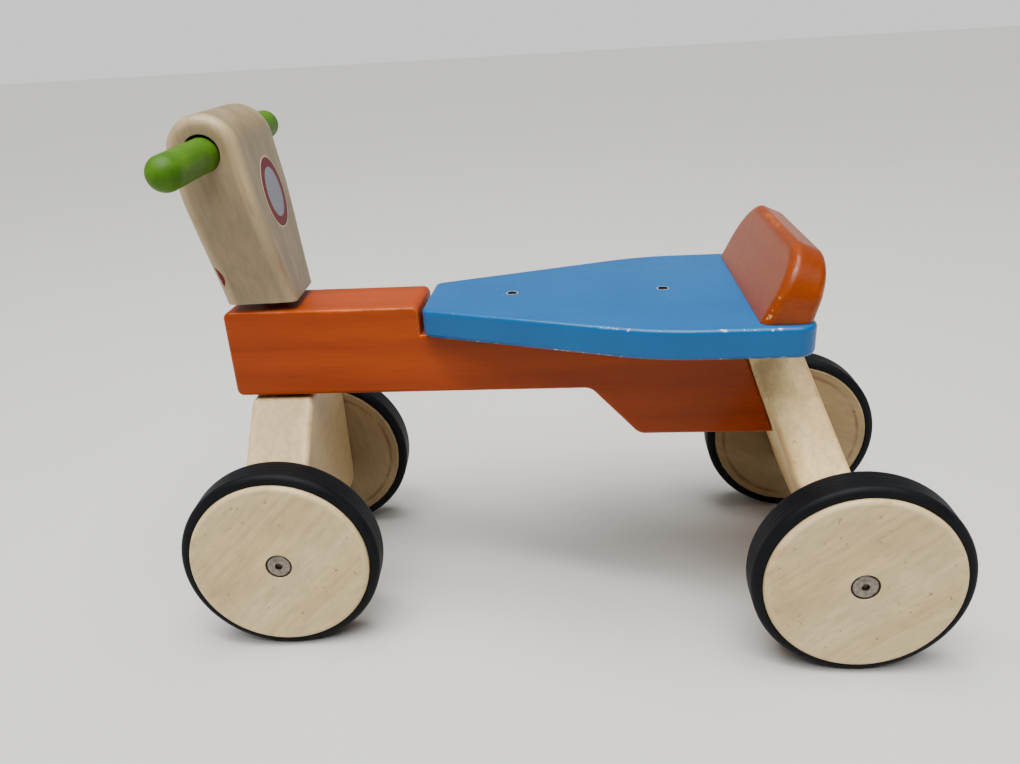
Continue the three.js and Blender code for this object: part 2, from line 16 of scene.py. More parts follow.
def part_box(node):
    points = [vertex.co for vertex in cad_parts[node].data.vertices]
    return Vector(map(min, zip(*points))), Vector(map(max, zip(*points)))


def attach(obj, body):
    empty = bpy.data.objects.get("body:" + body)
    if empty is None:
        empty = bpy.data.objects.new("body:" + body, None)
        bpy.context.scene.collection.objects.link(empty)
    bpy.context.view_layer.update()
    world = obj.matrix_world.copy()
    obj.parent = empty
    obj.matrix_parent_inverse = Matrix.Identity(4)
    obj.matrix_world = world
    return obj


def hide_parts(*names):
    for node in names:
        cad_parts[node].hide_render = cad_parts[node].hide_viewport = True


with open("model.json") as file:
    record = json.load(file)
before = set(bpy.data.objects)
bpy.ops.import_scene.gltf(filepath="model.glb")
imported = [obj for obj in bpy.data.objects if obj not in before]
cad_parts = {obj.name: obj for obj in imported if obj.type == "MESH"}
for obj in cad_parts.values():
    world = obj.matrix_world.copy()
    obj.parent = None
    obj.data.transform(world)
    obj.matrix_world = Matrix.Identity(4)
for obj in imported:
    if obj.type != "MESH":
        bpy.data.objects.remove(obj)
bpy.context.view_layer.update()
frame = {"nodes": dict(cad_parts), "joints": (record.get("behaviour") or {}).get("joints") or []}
NODES = frame["nodes"]
JOINTS = {joint["name"]: joint for joint in frame["joints"]}


def mm(value):
    return value / 1000


# ---------- sizes, in millimetres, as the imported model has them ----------
GAP = 0.3  # between pieces that touch
STEER_AT_REST = 4  # degrees to the left

WHEEL_RADIUS = 70
TYRE_WIDTH = 24.8
TYRE_THICKNESS = 6.8
TYRE_EDGE = 4.6
TYRE_RIB_WIDTH = 11
TYRE_RIB_HEIGHT = 2.2
DISC_PROUD = 3.4
DISC_EDGE = 3.2
DISC_BACK_EDGE = 1.5
BUSH_RADIUS = 7.3
SHARP_EDGE = 0.4  # chamfer of an edge that is nearly sharp
DISC_RIM_WEAR = 0.7
TREAD_GROOVE = 0.16
TREAD_STEPS = 24
TREAD_STEPS_PER_GROOVE = 6

BOLT_HEAD_RADIUS = 8.25
BOLT_HEAD_HEIGHT = 2.4
BOLT_SHANK_RADIUS = 5
BOLT_THREAD_RADIUS = 4
BOLT_THREAD_LENGTH = 30
HUB_GAP = 1.8  # wheel to axle block
BOLT_CHAMFER = 0.8
HEAD_GROOVE = (0.72, 0.64)  # a fine turned ring, outer and inner edge as shares of the head's radius
HEAD_GROOVE_SLOPE = 0.02
HEAD_GROOVE_DEPTH = 0.12
HEAD_SIDE = 0.7  # depth at which the head's rounded rim meets its side
HEAD_TURN = 0.25  # how far in and down the rim's middle lies
HEX_SOCKET = 5  # across flats
HEX_DEPTH = 1.8
HEX_SIDES = 6
INSERT_RADIUS = 6.5
INSERT_DEPTH = 36

BEAM_HALF_WIDTH = 27
BEAM_EDGE = 2.5
BEAM_CORNER = 5
BEAM_UNDERSIDE = 170
BEAM_DROP_RUN = 34
BEAM_DROP_LENGTH = 94
NOTCH_GAP = 3.5  # seat nose to beam

SEAT_THICKNESS = 20
SEAT_NOSE_WIDTH = 66
SEAT_WIDTH = 180
SEAT_TAPER = 156
SEAT_EDGE = 3
SEAT_CORNER = 14
SEAT_NOSE_CORNER = 7
SEAT_SIDE_BLEND = 150

BACKREST_WIDTH = 169
BACKREST_HEIGHT = 45
BACKREST_DEPTH = 32
BACKREST_FRONT_LEAN = 26.5  # degrees
BACKREST_REAR_LEAN = 15.5
BACKREST_REAR_DROP = 9
BACKREST_CORNER = 32
BACKREST_EDGE = 7

BLOCK_LEAN = 20  # degrees, rear block
REAR_BLOCK_THICKNESS = 35
FRONT_BLOCK_LENGTH = 45
BLOCK_BELOW_AXLE = 22
BLOCK_EDGE = 4
BLOCK_CORNER = 12
REAR_SHOULDER_DROP = 21
REAR_SHOULDER_HEIGHT = 45
FRONT_SHOULDER_HEIGHT = 60
FRONT_BLOCK_HALF = 67.6
SPINDLE_RADIUS = 5
SPINDLE_HEAD_RADIUS = 9
SPINDLE_HEAD_TOP = 53.3

POST_THICKNESS = 48
POST_FOOT_WIDTH = 52
POST_HEAD_WIDTH = 87
POST_WIDENING_HEIGHT = 73
POST_EASE = 0.12  # how much the widening starts and ends gently
POST_LEAN = 8.7  # degrees
POST_HALF_RUN = POST_THICKNESS / 2 / math.cos(math.radians(POST_LEAN))  # level, middle to face
POST_EDGE = 7
POST_FORWARD = 2.5
BAR_HEIGHT = 105.5
BAR_RADIUS = 10.9
BAR_LENGTH = 232
BAR_PLAY = 1.2
BAR_TILT = 1.2  # degrees, left end down
BADGE_HEIGHT = 72
BADGE_ASIDE = -2  # towards the right
STICKER_HEIGHT = 23
STICKER_ASIDE = 17
STICKER_HALF_WIDTH = 17
STICKER_HALF_HEIGHT = 13
STICKER_THICKNESS = 0.35
STICKER_SINK = -0.1

# Segments round a turned piece.
TYRE_SEGMENTS = 160
DISC_SEGMENTS = 128
BOLT_SEGMENTS = 96
BAR_SEGMENTS = 72
BAR_HOLE_SEGMENTS = 96
HOLE_SEGMENTS = 32
STICKER_SEGMENTS = 56
STICKER_RINGS = 10
BADGE_SEGMENTS = 72

# ---------- places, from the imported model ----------
AXLE_Z = 1000 * JOINTS["rear_left_wheel_spin"]["pos_m"][2]
REAR_AXLE_X = 1000 * JOINTS["rear_left_wheel_spin"]["pos_m"][0]
PIVOT_X = 1000 * JOINTS["steering_turn"]["pos_m"][0]


def corners(node):
    """Lowest and highest corner of a CAD node, in millimetres."""
    low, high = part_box(node)
    return low * 1000, high * 1000


BEAM_LOW, BEAM_HIGH = corners("main_beam")
SEAT_LOW, SEAT_HIGH = corners("seat_board")
BACKREST_FOOT_Z = corners("backrest")[0].z
BACKREST_FRONT_X = corners("backrest")[1].x
FRONT_BLOCK_TOP = corners("front_axle_block")[1].z
POST_FOOT_Z = corners("steering_post")[0].z
REAR_BLOCK_HALF = corners("rear_axle_block")[1].y


# ---------- mesh tools, in millimetres ----------
ON_AXIS = 1e-6  # a point closer than this to the axis is on it
WELD = 1e-4  # points closer than this become one
SLICE_REACH = 0.01  # a point closer than this to a slicing plane is on it


def arc(centre, radius, start, end, steps):
    """Points on an arc, in degrees, both ends included."""
    angles = [math.radians(start + (end - start) * i / steps) for i in range(steps + 1)]
    return [(centre[0] + radius * math.cos(a), centre[1] + radius * math.sin(a)) for a in angles]


def rounded(points, step=6):
    """A closed outline from (x, y, radius) corners. step is the arc's step in degrees."""
    outline = []
    for i, (x, y, radius) in enumerate(points):
        here = Vector((x, y))
        before = Vector(points[i - 1][:2])
        after = Vector(points[(i + 1) % len(points)][:2])
        if not radius:
            outline.append((x, y))
            continue
        back = (before - here).normalized()
        ahead = (after - here).normalized()
        half = back.angle(ahead) / 2
        centre = here + (back + ahead).normalized() * (radius / math.sin(half))
        start = here + back * (radius / math.tan(half)) - centre
        end = here + ahead * (radius / math.tan(half)) - centre
        sweep = start.angle_signed(end)
        first = math.degrees(math.atan2(start.y, start.x))
        steps = max(2, round(abs(math.degrees(sweep)) / step))
        outline += arc(centre, radius, first, first - math.degrees(sweep), steps)
    return outline


def inset(outline, distance):
    """The outline moved inwards. It runs anticlockwise."""
    points = np.array(outline, float)
    ahead = np.roll(points, -1, axis=0) - points
    ahead /= np.linalg.norm(ahead, axis=1)[:, None]
    normal = np.stack([-ahead[:, 1], ahead[:, 0]], axis=1)
    before = np.roll(normal, 1, axis=0)
    mitre = (normal + before) / (1 + (normal * before).sum(axis=1))[:, None]
    return points + mitre * distance


def anticlockwise(outline):
    points = np.array(outline, float)
    x, y = points.T
    area = (x * np.roll(y, -1) - y * np.roll(x, -1)).sum()
    return points if area > 0 else points[::-1]


def without_doubles(outline, least=0.05):
    """The outline without points closer together than the least distance."""
    kept = [outline[0]]
    for point in outline[1:]:
        if math.dist(point, kept[-1]) > least:
            kept.append(point)
    if math.dist(kept[0], kept[-1]) <= least:
        kept.pop()
    return kept


EDGE_WEAR = 0.55  # where an edge begins to round; it is 1 in its middle
SIDE_WEAR = [(1.5, 0.3), (4.0, 0.08)]  # distance down a side from its edge, and how worn
FACE_WEAR_REACH = 1.5
FACE_WEAR = 0.25


def slab(outline, half, edge, grid, bevel_steps=6):
    """A bmesh board in millimetres: outline in x and y, thick along z, with rounded edges.

    The vertex layer "wear" is 1 along the rounded edges and fades to 0 on the flats.
    """
    outline = anticlockwise(without_doubles(list(map(tuple, outline))))
    mesh = bmesh.new()
    edge_wear_and_highlight = mesh.verts.layers.float.new("edge_wear_and_highlight")
    levels = []
    for i in range(bevel_steps + 1):
        angle = math.pi / 2 * i / bevel_steps
        amount = EDGE_WEAR + (1 - EDGE_WEAR) * math.sin(2 * angle)
        levels.append((edge * (1 - math.sin(angle)), -half + edge * (1 - math.cos(angle)), amount))
    levels += [(0, -half + edge + away, amount) for away, amount in SIDE_WEAR if away < half - edge - 1]
    levels = levels + [(d, -z, amount) for d, z, amount in reversed(levels)]
    rings = []
    for distance, z, amount in levels:
        ring = []
        for x, y in inset(outline, distance):
            vert = mesh.verts.new((x, y, z))
            vert[edge_wear_and_highlight] = amount
            ring.append(vert)
        rings.append(ring)
    count = len(outline)
    for lower, upper in zip(rings, rings[1:]):
        for i in range(count):
            j = (i + 1) % count
            mesh.faces.new((lower[i], lower[j], upper[j], upper[i]))
    for ring, flip in ((rings[0], True), (rings[-1], False)):
        inner = []
        for x, y in inset(outline, edge + FACE_WEAR_REACH):
            vert = mesh.verts.new((x, y, ring[0].co.z))
            vert[edge_wear_and_highlight] = FACE_WEAR
            inner.append(vert)
        for i in range(count):
            j = (i + 1) % count
            quad = (ring[i], ring[j], inner[j], inner[i])
            mesh.faces.new(quad[::-1] if flip else quad)
        mesh.faces.new(inner[::-1] if flip else inner)
    if grid:
        slice_up(mesh, grid)
    mesh.normal_update()
    return mesh


def slice_up(mesh, step):
    """Cuts the mesh by planes a step apart in x and y, so that it can be bent and its layers can vary."""
    for axis in (0, 1):
        values = [v.co[axis] for v in mesh.verts]
        low, high = min(values), max(values)
        count = int((high - low) / step)
        normal = Vector((0, 0, 0))
        normal[axis] = 1
        for i in range(1, count):
            place = Vector((0, 0, 0))
            place[axis] = low + (high - low) * i / count
            everything = mesh.verts[:] + mesh.edges[:] + mesh.faces[:]
            bmesh.ops.bisect_plane(mesh, geom=everything, plane_co=place, plane_no=normal, dist=SLICE_REACH)


def stand_up(mesh):
    """From x, y, thick along z to x, thick along y, z: a side view."""
    mesh.transform(Matrix.Rotation(math.pi / 2, 4, "X"))


def face_front(mesh):
    """From y, z, thick along z to y and z as drawn, thick along x: a front view."""
    mesh.transform(Matrix(((0, 0, 1, 0), (1, 0, 0, 0), (0, 1, 0, 0), (0, 0, 0, 1))))


def lathe(points, segments):
    """A bmesh turned round the Y axis from (radius, y) points, in millimetres."""
    mesh = bmesh.new()
    rings = []
    for radius, y in points:
        if radius < ON_AXIS:
            rings.append([mesh.verts.new((0, y, 0))])
            continue
        ring = []
        for i in range(segments):
            angle = 2 * math.pi * i / segments
            ring.append(mesh.verts.new((radius * math.cos(angle), y, radius * math.sin(angle))))
        rings.append(ring)
    for lower, upper in zip(rings, rings[1:]):
        for i in range(segments):
            j = (i + 1) % segments
            quad = [lower[i % len(lower)], upper[i % len(upper)], upper[j % len(upper)]]
            quad.append(lower[j % len(lower)])
            corners_used = list(dict.fromkeys(quad))
            if len(corners_used) > 2:
                mesh.faces.new(corners_used)
    bmesh.ops.remove_doubles(mesh, verts=mesh.verts[:], dist=WELD)
    bmesh.ops.recalc_face_normals(mesh, faces=mesh.faces[:])
    return mesh


def barrel(radius, start, end, axis="Y", segments=48, place=(0, 0, 0)):
    """A plain bar in millimetres along Y or Z, used only to cut with."""
    mesh = lathe([(0, start), (radius, start), (radius, end), (0, end)], segments)
    turn = Matrix.Rotation(math.pi / 2, 4, "X") if axis == "Z" else Matrix()
    mesh.transform(Matrix.Translation(place) @ turn)
    return mesh


def cut(mesh, *tools):
    """Subtracts bmesh tools from a bmesh, which is replaced by the result."""
    body = as_object(mesh, "blank")
    for tool in tools:
        cutter = as_object(tool, "cutter")
        step = body.modifiers.new("cut", "BOOLEAN")
        step.operation = "DIFFERENCE"
        step.solver = "EXACT"
        step.object = cutter
        graph = bpy.context.evaluated_depsgraph_get()
        result = bpy.data.meshes.new_from_object(body.evaluated_get(graph))
        body.modifiers.clear()
        body.data = result
        bpy.data.objects.remove(cutter)
    out = bmesh.new()
    out.from_mesh(body.data)
    bpy.data.objects.remove(body)
    return out


def put_in_scene(name, data):
    thing = bpy.data.objects.new(name, data)
    bpy.context.scene.collection.objects.link(thing)
    return thing


def as_object(mesh, name):
    data = bpy.data.meshes.new(name)
    mesh.to_mesh(data)
    mesh.free()
    return put_in_scene(name, data)


def piece(name, mesh, body, nodes, material, place=None, sharp=40):
    """Makes a finished piece from a bmesh in millimetres and puts it on its body.

    Its own coordinates are kept in the vertex attribute "own" for its material.
    """
    mesh.transform(Matrix.Scale(0.001, 4))
    thing = as_object(mesh, name)
    own = np.empty(3 * len(thing.data.vertices))
    thing.data.vertices.foreach_get("co", own)
    thing.data.attributes.new("own", "FLOAT_VECTOR", "POINT").data.foreach_set("vector", own)
    thing.data.shade_smooth()
    thing.data.set_sharp_from_angle(angle=math.radians(sharp))
    weighted = thing.modifiers.new("normals", "WEIGHTED_NORMAL")
    weighted.keep_sharp = True
    thing.data.materials.append(material)
    if place is not None:
        thing.data.transform(place)
    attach(thing, body)
    if nodes:
        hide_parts(*nodes)


# ---------- node materials ----------
class Look:
    """Builds one node material. Sockets are passed as values to link them."""

    def __init__(self, name, own=True):
        """own: the piece's own coordinates, which only pieces made here have."""
        self.material = bpy.data.materials.new(name)
        self.material.use_nodes = True
        self.tree = self.material.node_tree
        self.shader = self.tree.nodes["Principled BSDF"]
        if own:
            self.place = self.add("ShaderNodeAttribute", attribute_name="own").outputs["Vector"]
        else:
            self.place = self.add("ShaderNodeTexCoord").outputs["Object"]

    def add(self, kind, inputs=None, **settings):
        node = self.tree.nodes.new(kind)
        for key, value in settings.items():
            setattr(node, key, value)
        for key, value in (inputs or {}).items():
            self.put(node.inputs[key], value)
        return node

    def put(self, socket, value):
        if isinstance(value, bpy.types.NodeSocket):
            self.tree.links.new(value, socket)
        elif socket.type == "RGBA" and len(value) == 3:
            socket.default_value = (*value, 1)
        else:
            socket.default_value = value

    def set(self, **values):
        for key, value in values.items():
            self.put(self.shader.inputs[key.replace("_", " ")], value)

    def stretched(self, scale, turn=(0, 0, 0)):
        """The place turned by Euler degrees, then scaled along each axis."""
        inputs = {"Vector": self.place, "Rotation": tuple(math.radians(a) for a in turn)}
        turned = self.add("ShaderNodeMapping", inputs, vector_type="TEXTURE").outputs[0]
        return self.add("ShaderNodeMapping", {"Vector": turned, "Scale": scale}).outputs[0]

    def noise(self, vector, scale=1, detail=4, roughness=0.55, distortion=0):
        inputs = {"Vector": vector, "Scale": scale, "Detail": detail}
        inputs.update({"Roughness": roughness, "Distortion": distortion})
        return self.add("ShaderNodeTexNoise", inputs).outputs["Fac"]

    def dots(self, vector, scale, size, chance):
        """1 inside small round spots, in a share of the cells."""
        cells = self.add("ShaderNodeTexVoronoi", {"Vector": vector, "Scale": scale})
        spot = self.ramp(cells.outputs["Distance"], [(size * 0.5, 1), (size, 0)])
        chosen = self.add("ShaderNodeSeparateColor", {0: cells.outputs["Color"]}).outputs[0]
        return self.times(spot, self.maths("LESS_THAN", chosen, chance))

    def ramp(self, value, stops):
        """A value ramp: stops of (place, value), or (place, colour)."""
        node = self.add("ShaderNodeValToRGB", {"Fac": value})
        band = node.color_ramp
        while len(band.elements) < len(stops):
            band.elements.new(0.5)
        for element, (place, shade) in zip(band.elements, stops):
            element.position = place
            element.color = (shade,) * 3 + (1,) if isinstance(shade, (int, float)) else (*shade, 1)
        return node.outputs["Color"]

    def maths(self, operation, a, b=0.0):
        node = self.add("ShaderNodeMath", operation=operation)
        self.put(node.inputs[0], a)
        self.put(node.inputs[1], b)
        return node.outputs[0]

    def times(self, a, b):
        return self.maths("MULTIPLY", a, b)

    def mix(self, amount, a, b, blend="MIX"):
        node = self.add("ShaderNodeMix", data_type="RGBA", blend_type=blend)
        self.put(node.inputs[0], amount)
        self.put(node.inputs[6], a)
        self.put(node.inputs[7], b)
        return node.outputs[2]

    def spread(self, value, low, high):
        """0 to 1 turned into low to high."""
        node = self.add("ShaderNodeMapRange", {"Value": value, "To Min": low, "To Max": high})
        return node.outputs["Result"]

    def layer(self, name):
        return self.add("ShaderNodeAttribute", attribute_name=name).outputs["Fac"]

    def bump(self, height, strength, distance):
        inputs = {"Height": height, "Strength": strength, "Distance": distance}
        self.put(self.shader.inputs["Normal"], self.add("ShaderNodeBump", inputs).outputs[0])


GRAIN_STRETCH = 0.05  # scale of the grain along the wood, as a share of its scale across


def wood_grain(look, turn, scale=1.0):
    """Soft bands and fine streaks along local X, after the turn in degrees."""
    along = look.stretched((GRAIN_STRETCH, 1, 1), turn)
    bands = look.noise(along, 55 * scale, 3, 0.5, 0.6)
    streaks = look.noise(along, 420 * scale, 5, 0.65)
    return along, bands, streaks


def edge_mask(look, scale, patch_scale, low, high):
    """Ragged marks on the rounded edges, gathered in patches."""
    patches = look.spread(look.ramp(look.noise(look.place, patch_scale, 2), [(0.42, 0), (0.6, 1)]), 0.6, 1.0)
    ragged = look.times(look.noise(look.place, scale, 6, 0.75), patches)
    worn = look.times(ragged, look.layer("edge_wear_and_highlight"))
    return look.ramp(worn, [(low, 0), (high, 1)])


def radius_and_height(look):
    """Distance from local Y and the place along it."""
    split = look.add("ShaderNodeSeparateXYZ", {0: look.place})
    square = look.times(split.outputs[0], split.outputs[0])
    square = look.maths("ADD", square, look.times(split.outputs[2], split.outputs[2]))
    return look.maths("SQRT", square), split.outputs[1]


def pale_wood(name, base, tan, turn=(0, 0, 0), scale=1.0, specks=0.12, flecks=0.35, ring=None, rim=None):
    """Clear-lacquered pale wood: soft figure, short flecks, brown specks, nicks and handling dirt.

    turn: Euler degrees that lay the grain. specks and flecks: how many and how strong.
    ring: radius in millimetres of a brown line rubbed into a wheel disc's inner face, given only
    for a disc, whose inner face and bolt recess also get painted shade. rim: colour of the rounded edges;
    the pale rims given for the post and the front block are a painted highlight along their bevels.
    """
    look = Look(name)
    along, bands, streaks = wood_grain(look, turn, scale)
    figure = look.ramp(bands, [(0.36, 0), (0.66, 1)])
    colour = look.mix(figure, base, tan)
    fine = look.ramp(streaks, [(0.3, 0.8), (0.62, 1.07)])
    colour = look.mix(0.6, colour, fine, "MULTIPLY")
    short = look.noise(look.stretched((0.3, 1, 1), turn), 210, 3, 0.6)
    colour = look.mix(flecks, colour, look.ramp(short, [(0.36, 0.7), (0.58, 1.05)]), "MULTIPLY")
    pores = look.ramp(look.noise(along, 1500, 2, 0.5), [(0.3, 0.75), (0.42, 1)])
    colour = look.mix(0.3, colour, pores, "MULTIPLY")
    blotches = look.ramp(look.noise(look.place, 28, 3), [(0.3, 0.88), (0.68, 1.04)])
    colour = look.mix(0.8, colour, blotches, "MULTIPLY")
    spots = look.dots(look.stretched((0.6, 1, 1), turn), 95, 0.12, specks)
    colour = look.mix(look.times(spots, 0.65), colour, (0.14, 0.08, 0.04))
    grime = look.noise(look.place, 160, 5, 0.7)
    nicks = look.ramp(look.noise(look.place, 300, 2, 0.5), [(0.71, 0), (0.745, 0.7)])
    colour = look.mix(nicks, colour, (0.16, 0.1, 0.05))
    # Rounded edges blend to the rim colour: the dark default darkens them, while the pale rims of the post
    # and the front block are a painted highlight along the bevels.
    worn = look.times(look.layer("edge_wear_and_highlight"), look.ramp(bands, [(0.34, 0.15), (0.62, 0.75)]))
    colour = look.mix(worn, colour, rim or (0.36, 0.2, 0.08))
    handled = look.ramp(look.noise(along, 130, 4, 0.6), [(0.54, 0), (0.64, 0.45)])
    handled = look.times(handled, look.layer("edge_wear_and_highlight"))
    colour = look.mix(handled, colour, (0.28, 0.13, 0.045))
    if ring:
        radius, height = radius_and_height(look)
        away = look.maths("ABSOLUTE", look.maths("SUBTRACT", radius, mm(ring)))
        line = look.ramp(look.times(away, 200.0), [(0.1, 1), (0.4, 0)])
        inner = look.maths("LESS_THAN", height, mm(0.3))
        patches = look.ramp(look.noise(look.place, 22, 2), [(0.42, 0), (0.6, 0.7)])
        line = look.times(look.times(line, inner), patches)
        colour = look.mix(line, colour, (0.24, 0.1, 0.025))
        # Painted shade: the disc's whole inner face, which faces the chassis, is darkened.
        colour = look.mix(look.times(inner, 0.8), colour, (0.3, 0.26, 0.22), "MULTIPLY")
        # Painted shade: the bolt recess and the gap round the bolt head are near black, reaching just past
        # the recess mouth.
        recess = look.maths("LESS_THAN", radius, mm(BOLT_HEAD_RADIUS + 3 * GAP + 0.15))
        colour = look.mix(look.times(recess, 0.85), colour, (0.03, 0.018, 0.01))
    look.set(Base_Color=colour)
    look.set(Roughness=look.spread(grime, 0.36, 0.58))
    look.set(Coat_Weight=0.12, Coat_Roughness=0.35, Specular_IOR_Level=0.35)
    height = look.mix(0.5, streaks, look.noise(look.place, 40, 2))
    look.bump(height, 0.25, mm(0.25))
    return look.material


def orange_stain(name, base, dark, turn=(0, 0, 0), coat=0.15):
    """Orange stain under lacquer: dark grain lines along the wood, chips and scratches at edges."""
    look = Look(name)
    along, bands, streaks = wood_grain(look, turn)
    colour = look.mix(look.ramp(bands, [(0.35, 0), (0.7, 1)]), base, dark)
    lines = look.ramp(look.noise(along, 700, 4, 0.6), [(0.3, 0.74), (0.5, 1.0)])
    colour = look.mix(0.6, colour, lines, "MULTIPLY")
    colour = look.mix(0.5, colour, look.ramp(streaks, [(0.3, 0.85), (0.65, 1.1)]), "MULTIPLY")
    rubbed = look.times(edge_mask(look, 60, 22, 0.38, 0.62), 0.55)
    colour = look.mix(rubbed, colour, (0.55, 0.13, 0.02))
    chips = edge_mask(look, 260, 30, 0.565, 0.58)
    colour = look.mix(chips, colour, (0.48, 0.24, 0.1))
    grime = look.noise(look.place, 190, 6, 0.7)
    look.set(Base_Color=colour)
    look.set(Roughness=look.spread(grime, 0.28, 0.44))
    look.set(Coat_Weight=coat, Coat_Roughness=0.14, Specular_IOR_Level=0.16)
    height = look.mix(0.4, streaks, look.noise(look.place, 60, 2))
    look.bump(look.maths("SUBTRACT", height, chips), 0.22, mm(0.2))
    return look.material


def blue_paint():
    """Blue paint on a seat: light scuffs on top, pale chips along its top and bottom edges, a lighter edge
    band that is partly rubbed paint and partly a painted highlight, and painted shade in its screw holes.
    """
    look = Look("blue_paint")
    broad = look.noise(look.place, 16, 4)
    colour = look.mix(look.ramp(broad, [(0.3, 0), (0.7, 1)]), (0.0015, 0.076, 0.235), (0.003, 0.09, 0.262))
    grain = look.noise(look.stretched((0.06, 1, 1)), 320, 4, 0.6)
    colour = look.mix(0.5, colour, look.ramp(grain, [(0.35, 0.92), (0.65, 1.06)]), "MULTIPLY")
    # Lighter blue along the rounded edges: partly rubbed paint, partly a painted highlight line.
    rubbed_paint_and_highlight = look.times(edge_mask(look, 120, 14, 0.46, 0.62), 0.3)
    colour = look.mix(rubbed_paint_and_highlight, colour, (0.09, 0.3, 0.5))
    chips = edge_mask(look, 300, 17, 0.545, 0.56)
    colour = look.mix(chips, colour, (0.6, 0.66, 0.6))
    marks = look.ramp(look.noise(look.stretched((1, 0.5, 0.12)), 330, 3, 0.6), [(0.735, 0), (0.75, 0.6)])
    colour = look.mix(marks, colour, (0.3, 0.5, 0.62))
    rough = look.noise(look.place, 230, 6, 0.75)
    flat = look.stretched((1, 1, 0))
    for screw in ("seat_screw_front", "seat_screw_rear"):
        low, high = corners(screw)
        middle = ((low.x + high.x) / 2, (low.y + high.y) / 2, 0)
        hole = (high.x - low.x) / 2 + GAP
        inputs = {0: flat, 1: tuple(map(mm, middle))}
        away = look.add("ShaderNodeVectorMath", inputs, operation="DISTANCE").outputs["Value"]
        ragged = look.maths("ADD", away, look.times(rough, mm(-1.6)))
        colour = look.mix(look.maths("LESS_THAN", ragged, mm(hole - 0.3)), colour, (0.42, 0.46, 0.42))
        # Painted shade: the walls of the screw hole are near black.
        inside = look.maths("LESS_THAN", away, mm(hole + 0.12))
        colour = look.mix(inside, colour, (0.02, 0.018, 0.016))
    look.set(Base_Color=colour, Roughness=look.spread(rough, 0.3, 0.48))
    look.set(Coat_Weight=0.18, Coat_Roughness=0.12, Specular_IOR_Level=0.2)
    look.bump(look.maths("SUBTRACT", grain, chips), 0.25, mm(0.2))
    return look.material


def green_paint():
    """Green paint on a dowel: brushed unevenly, darker where handled."""
    look = Look("green_paint")
    broad = look.noise(look.place, 70, 5, 0.6)
    colour = look.mix(look.ramp(broad, [(0.32, 0), (0.68, 1)]), (0.033, 0.105, 0.0004), (0.062, 0.16, 0.001))
    grain = look.noise(look.stretched((1, 0.07, 1)), 500, 4, 0.65)
    colour = look.mix(0.6, colour, look.ramp(grain, [(0.3, 0.82), (0.65, 1.08)]), "MULTIPLY")
    marks = look.dots(look.place, 140, 0.14, 0.1)
    colour = look.mix(look.times(marks, 0.6), colour, (0.04, 0.08, 0.01))
    look.set(Base_Color=colour, Roughness=look.spread(broad, 0.48, 0.66))
    look.set(Coat_Weight=0.03, Coat_Roughness=0.3, Specular_IOR_Level=0.2)
    look.bump(look.mix(0.5, grain, broad), 0.3, mm(0.25))
    return look.material


def tyre_rubber():
    """Dark rubber with fine lines round the tread, and pale bluish patches, partly dusty rubber and partly a
    painted sheen.
    """
    look = Look("tyre_rubber")
    radius, height = radius_and_height(look)
    across = look.add("ShaderNodeCombineXYZ", {0: radius, 1: height}).outputs[0]
    lines = look.noise(across, 900, 3, 0.7)
    broad = look.noise(look.place, 35, 4)
    worn = look.ramp(lines, [(0.35, 0), (0.7, 1)])
    colour = look.mix(worn, (0.0022, 0.0026, 0.0036), (0.0045, 0.0052, 0.007))
    # Pale bluish patches: partly dusty rubber, partly a painted sheen.
    dust_and_sheen = look.times(look.ramp(broad, [(0.42, 0), (0.7, 1)]), 0.16)
    colour = look.mix(dust_and_sheen, colour, (0.018, 0.02, 0.024))
    specks = look.dots(look.place, 260, 0.12, 0.05)
    colour = look.mix(look.times(specks, 0.4), colour, (0.12, 0.12, 0.12))
    look.set(Base_Color=colour, Roughness=look.spread(broad, 0.45, 0.65), Specular_IOR_Level=0.1)
    look.bump(look.mix(0.25, lines, look.noise(look.place, 700, 3)), 0.35, mm(0.25))
    return look.material


def zinc_steel(name, own, socket_top=None):
    """Dull plated steel with fine turning marks and brown stains, and painted shade deep inside a socket."""
    look = Look(name, own)
    radius, height = radius_and_height(look)
    across = look.add("ShaderNodeCombineXYZ", {0: radius, 1: height}).outputs[0]
    rings = look.noise(across, 2600, 3, 0.7)
    stains = look.noise(look.place, 330, 5, 0.7)
    colour = look.mix(look.ramp(stains, [(0.4, 0), (0.66, 1)]), (0.26, 0.23, 0.19), (0.104, 0.092, 0.076))
    colour = look.mix(look.ramp(stains, [(0.62, 0), (0.72, 0.7)]), colour, (0.1, 0.05, 0.02))
    if socket_top:
        # Painted shade: near black deep in the hex socket.
        deep = look.maths("LESS_THAN", height, mm(socket_top))
        dark = look.times(deep, look.maths("LESS_THAN", radius, mm(HEX_SOCKET * 0.6)))
        colour = look.mix(look.times(dark, 0.85), colour, (0.03, 0.015, 0.008))
    look.set(Base_Color=colour, Metallic=0.8)
    look.set(Roughness=look.spread(rings, 0.28, 0.5))
    look.bump(rings, 0.3, mm(0.06))
    return look.material


def nylon():
    """Grey moulded plastic with a faint grain."""
    look = Look("nylon", False)
    cloud = look.noise(look.place, 120, 4)
    look.set(Base_Color=look.mix(cloud, (0.16, 0.15, 0.14), (0.26, 0.25, 0.23)))
    look.set(Roughness=look.spread(cloud, 0.45, 0.6))
    look.bump(look.noise(look.place, 1800, 3), 0.2, mm(0.1))
    return look.material


def bare_dowel():
    """Plain hardwood for dowels that stay hidden."""
    look = Look("dowel_wood", False)
    along = look.stretched((GRAIN_STRETCH, 1, 1), (0, 20, 0))
    grain = look.noise(along, 400, 4, 0.6)
    figure = look.ramp(grain, [(0.3, 0), (0.7, 1)])
    look.set(Base_Color=look.mix(figure, (0.6, 0.42, 0.22), (0.48, 0.32, 0.15)))
    look.set(Roughness=look.spread(grain, 0.5, 0.7))
    look.bump(grain, 0.3, mm(0.2))
    return look.material


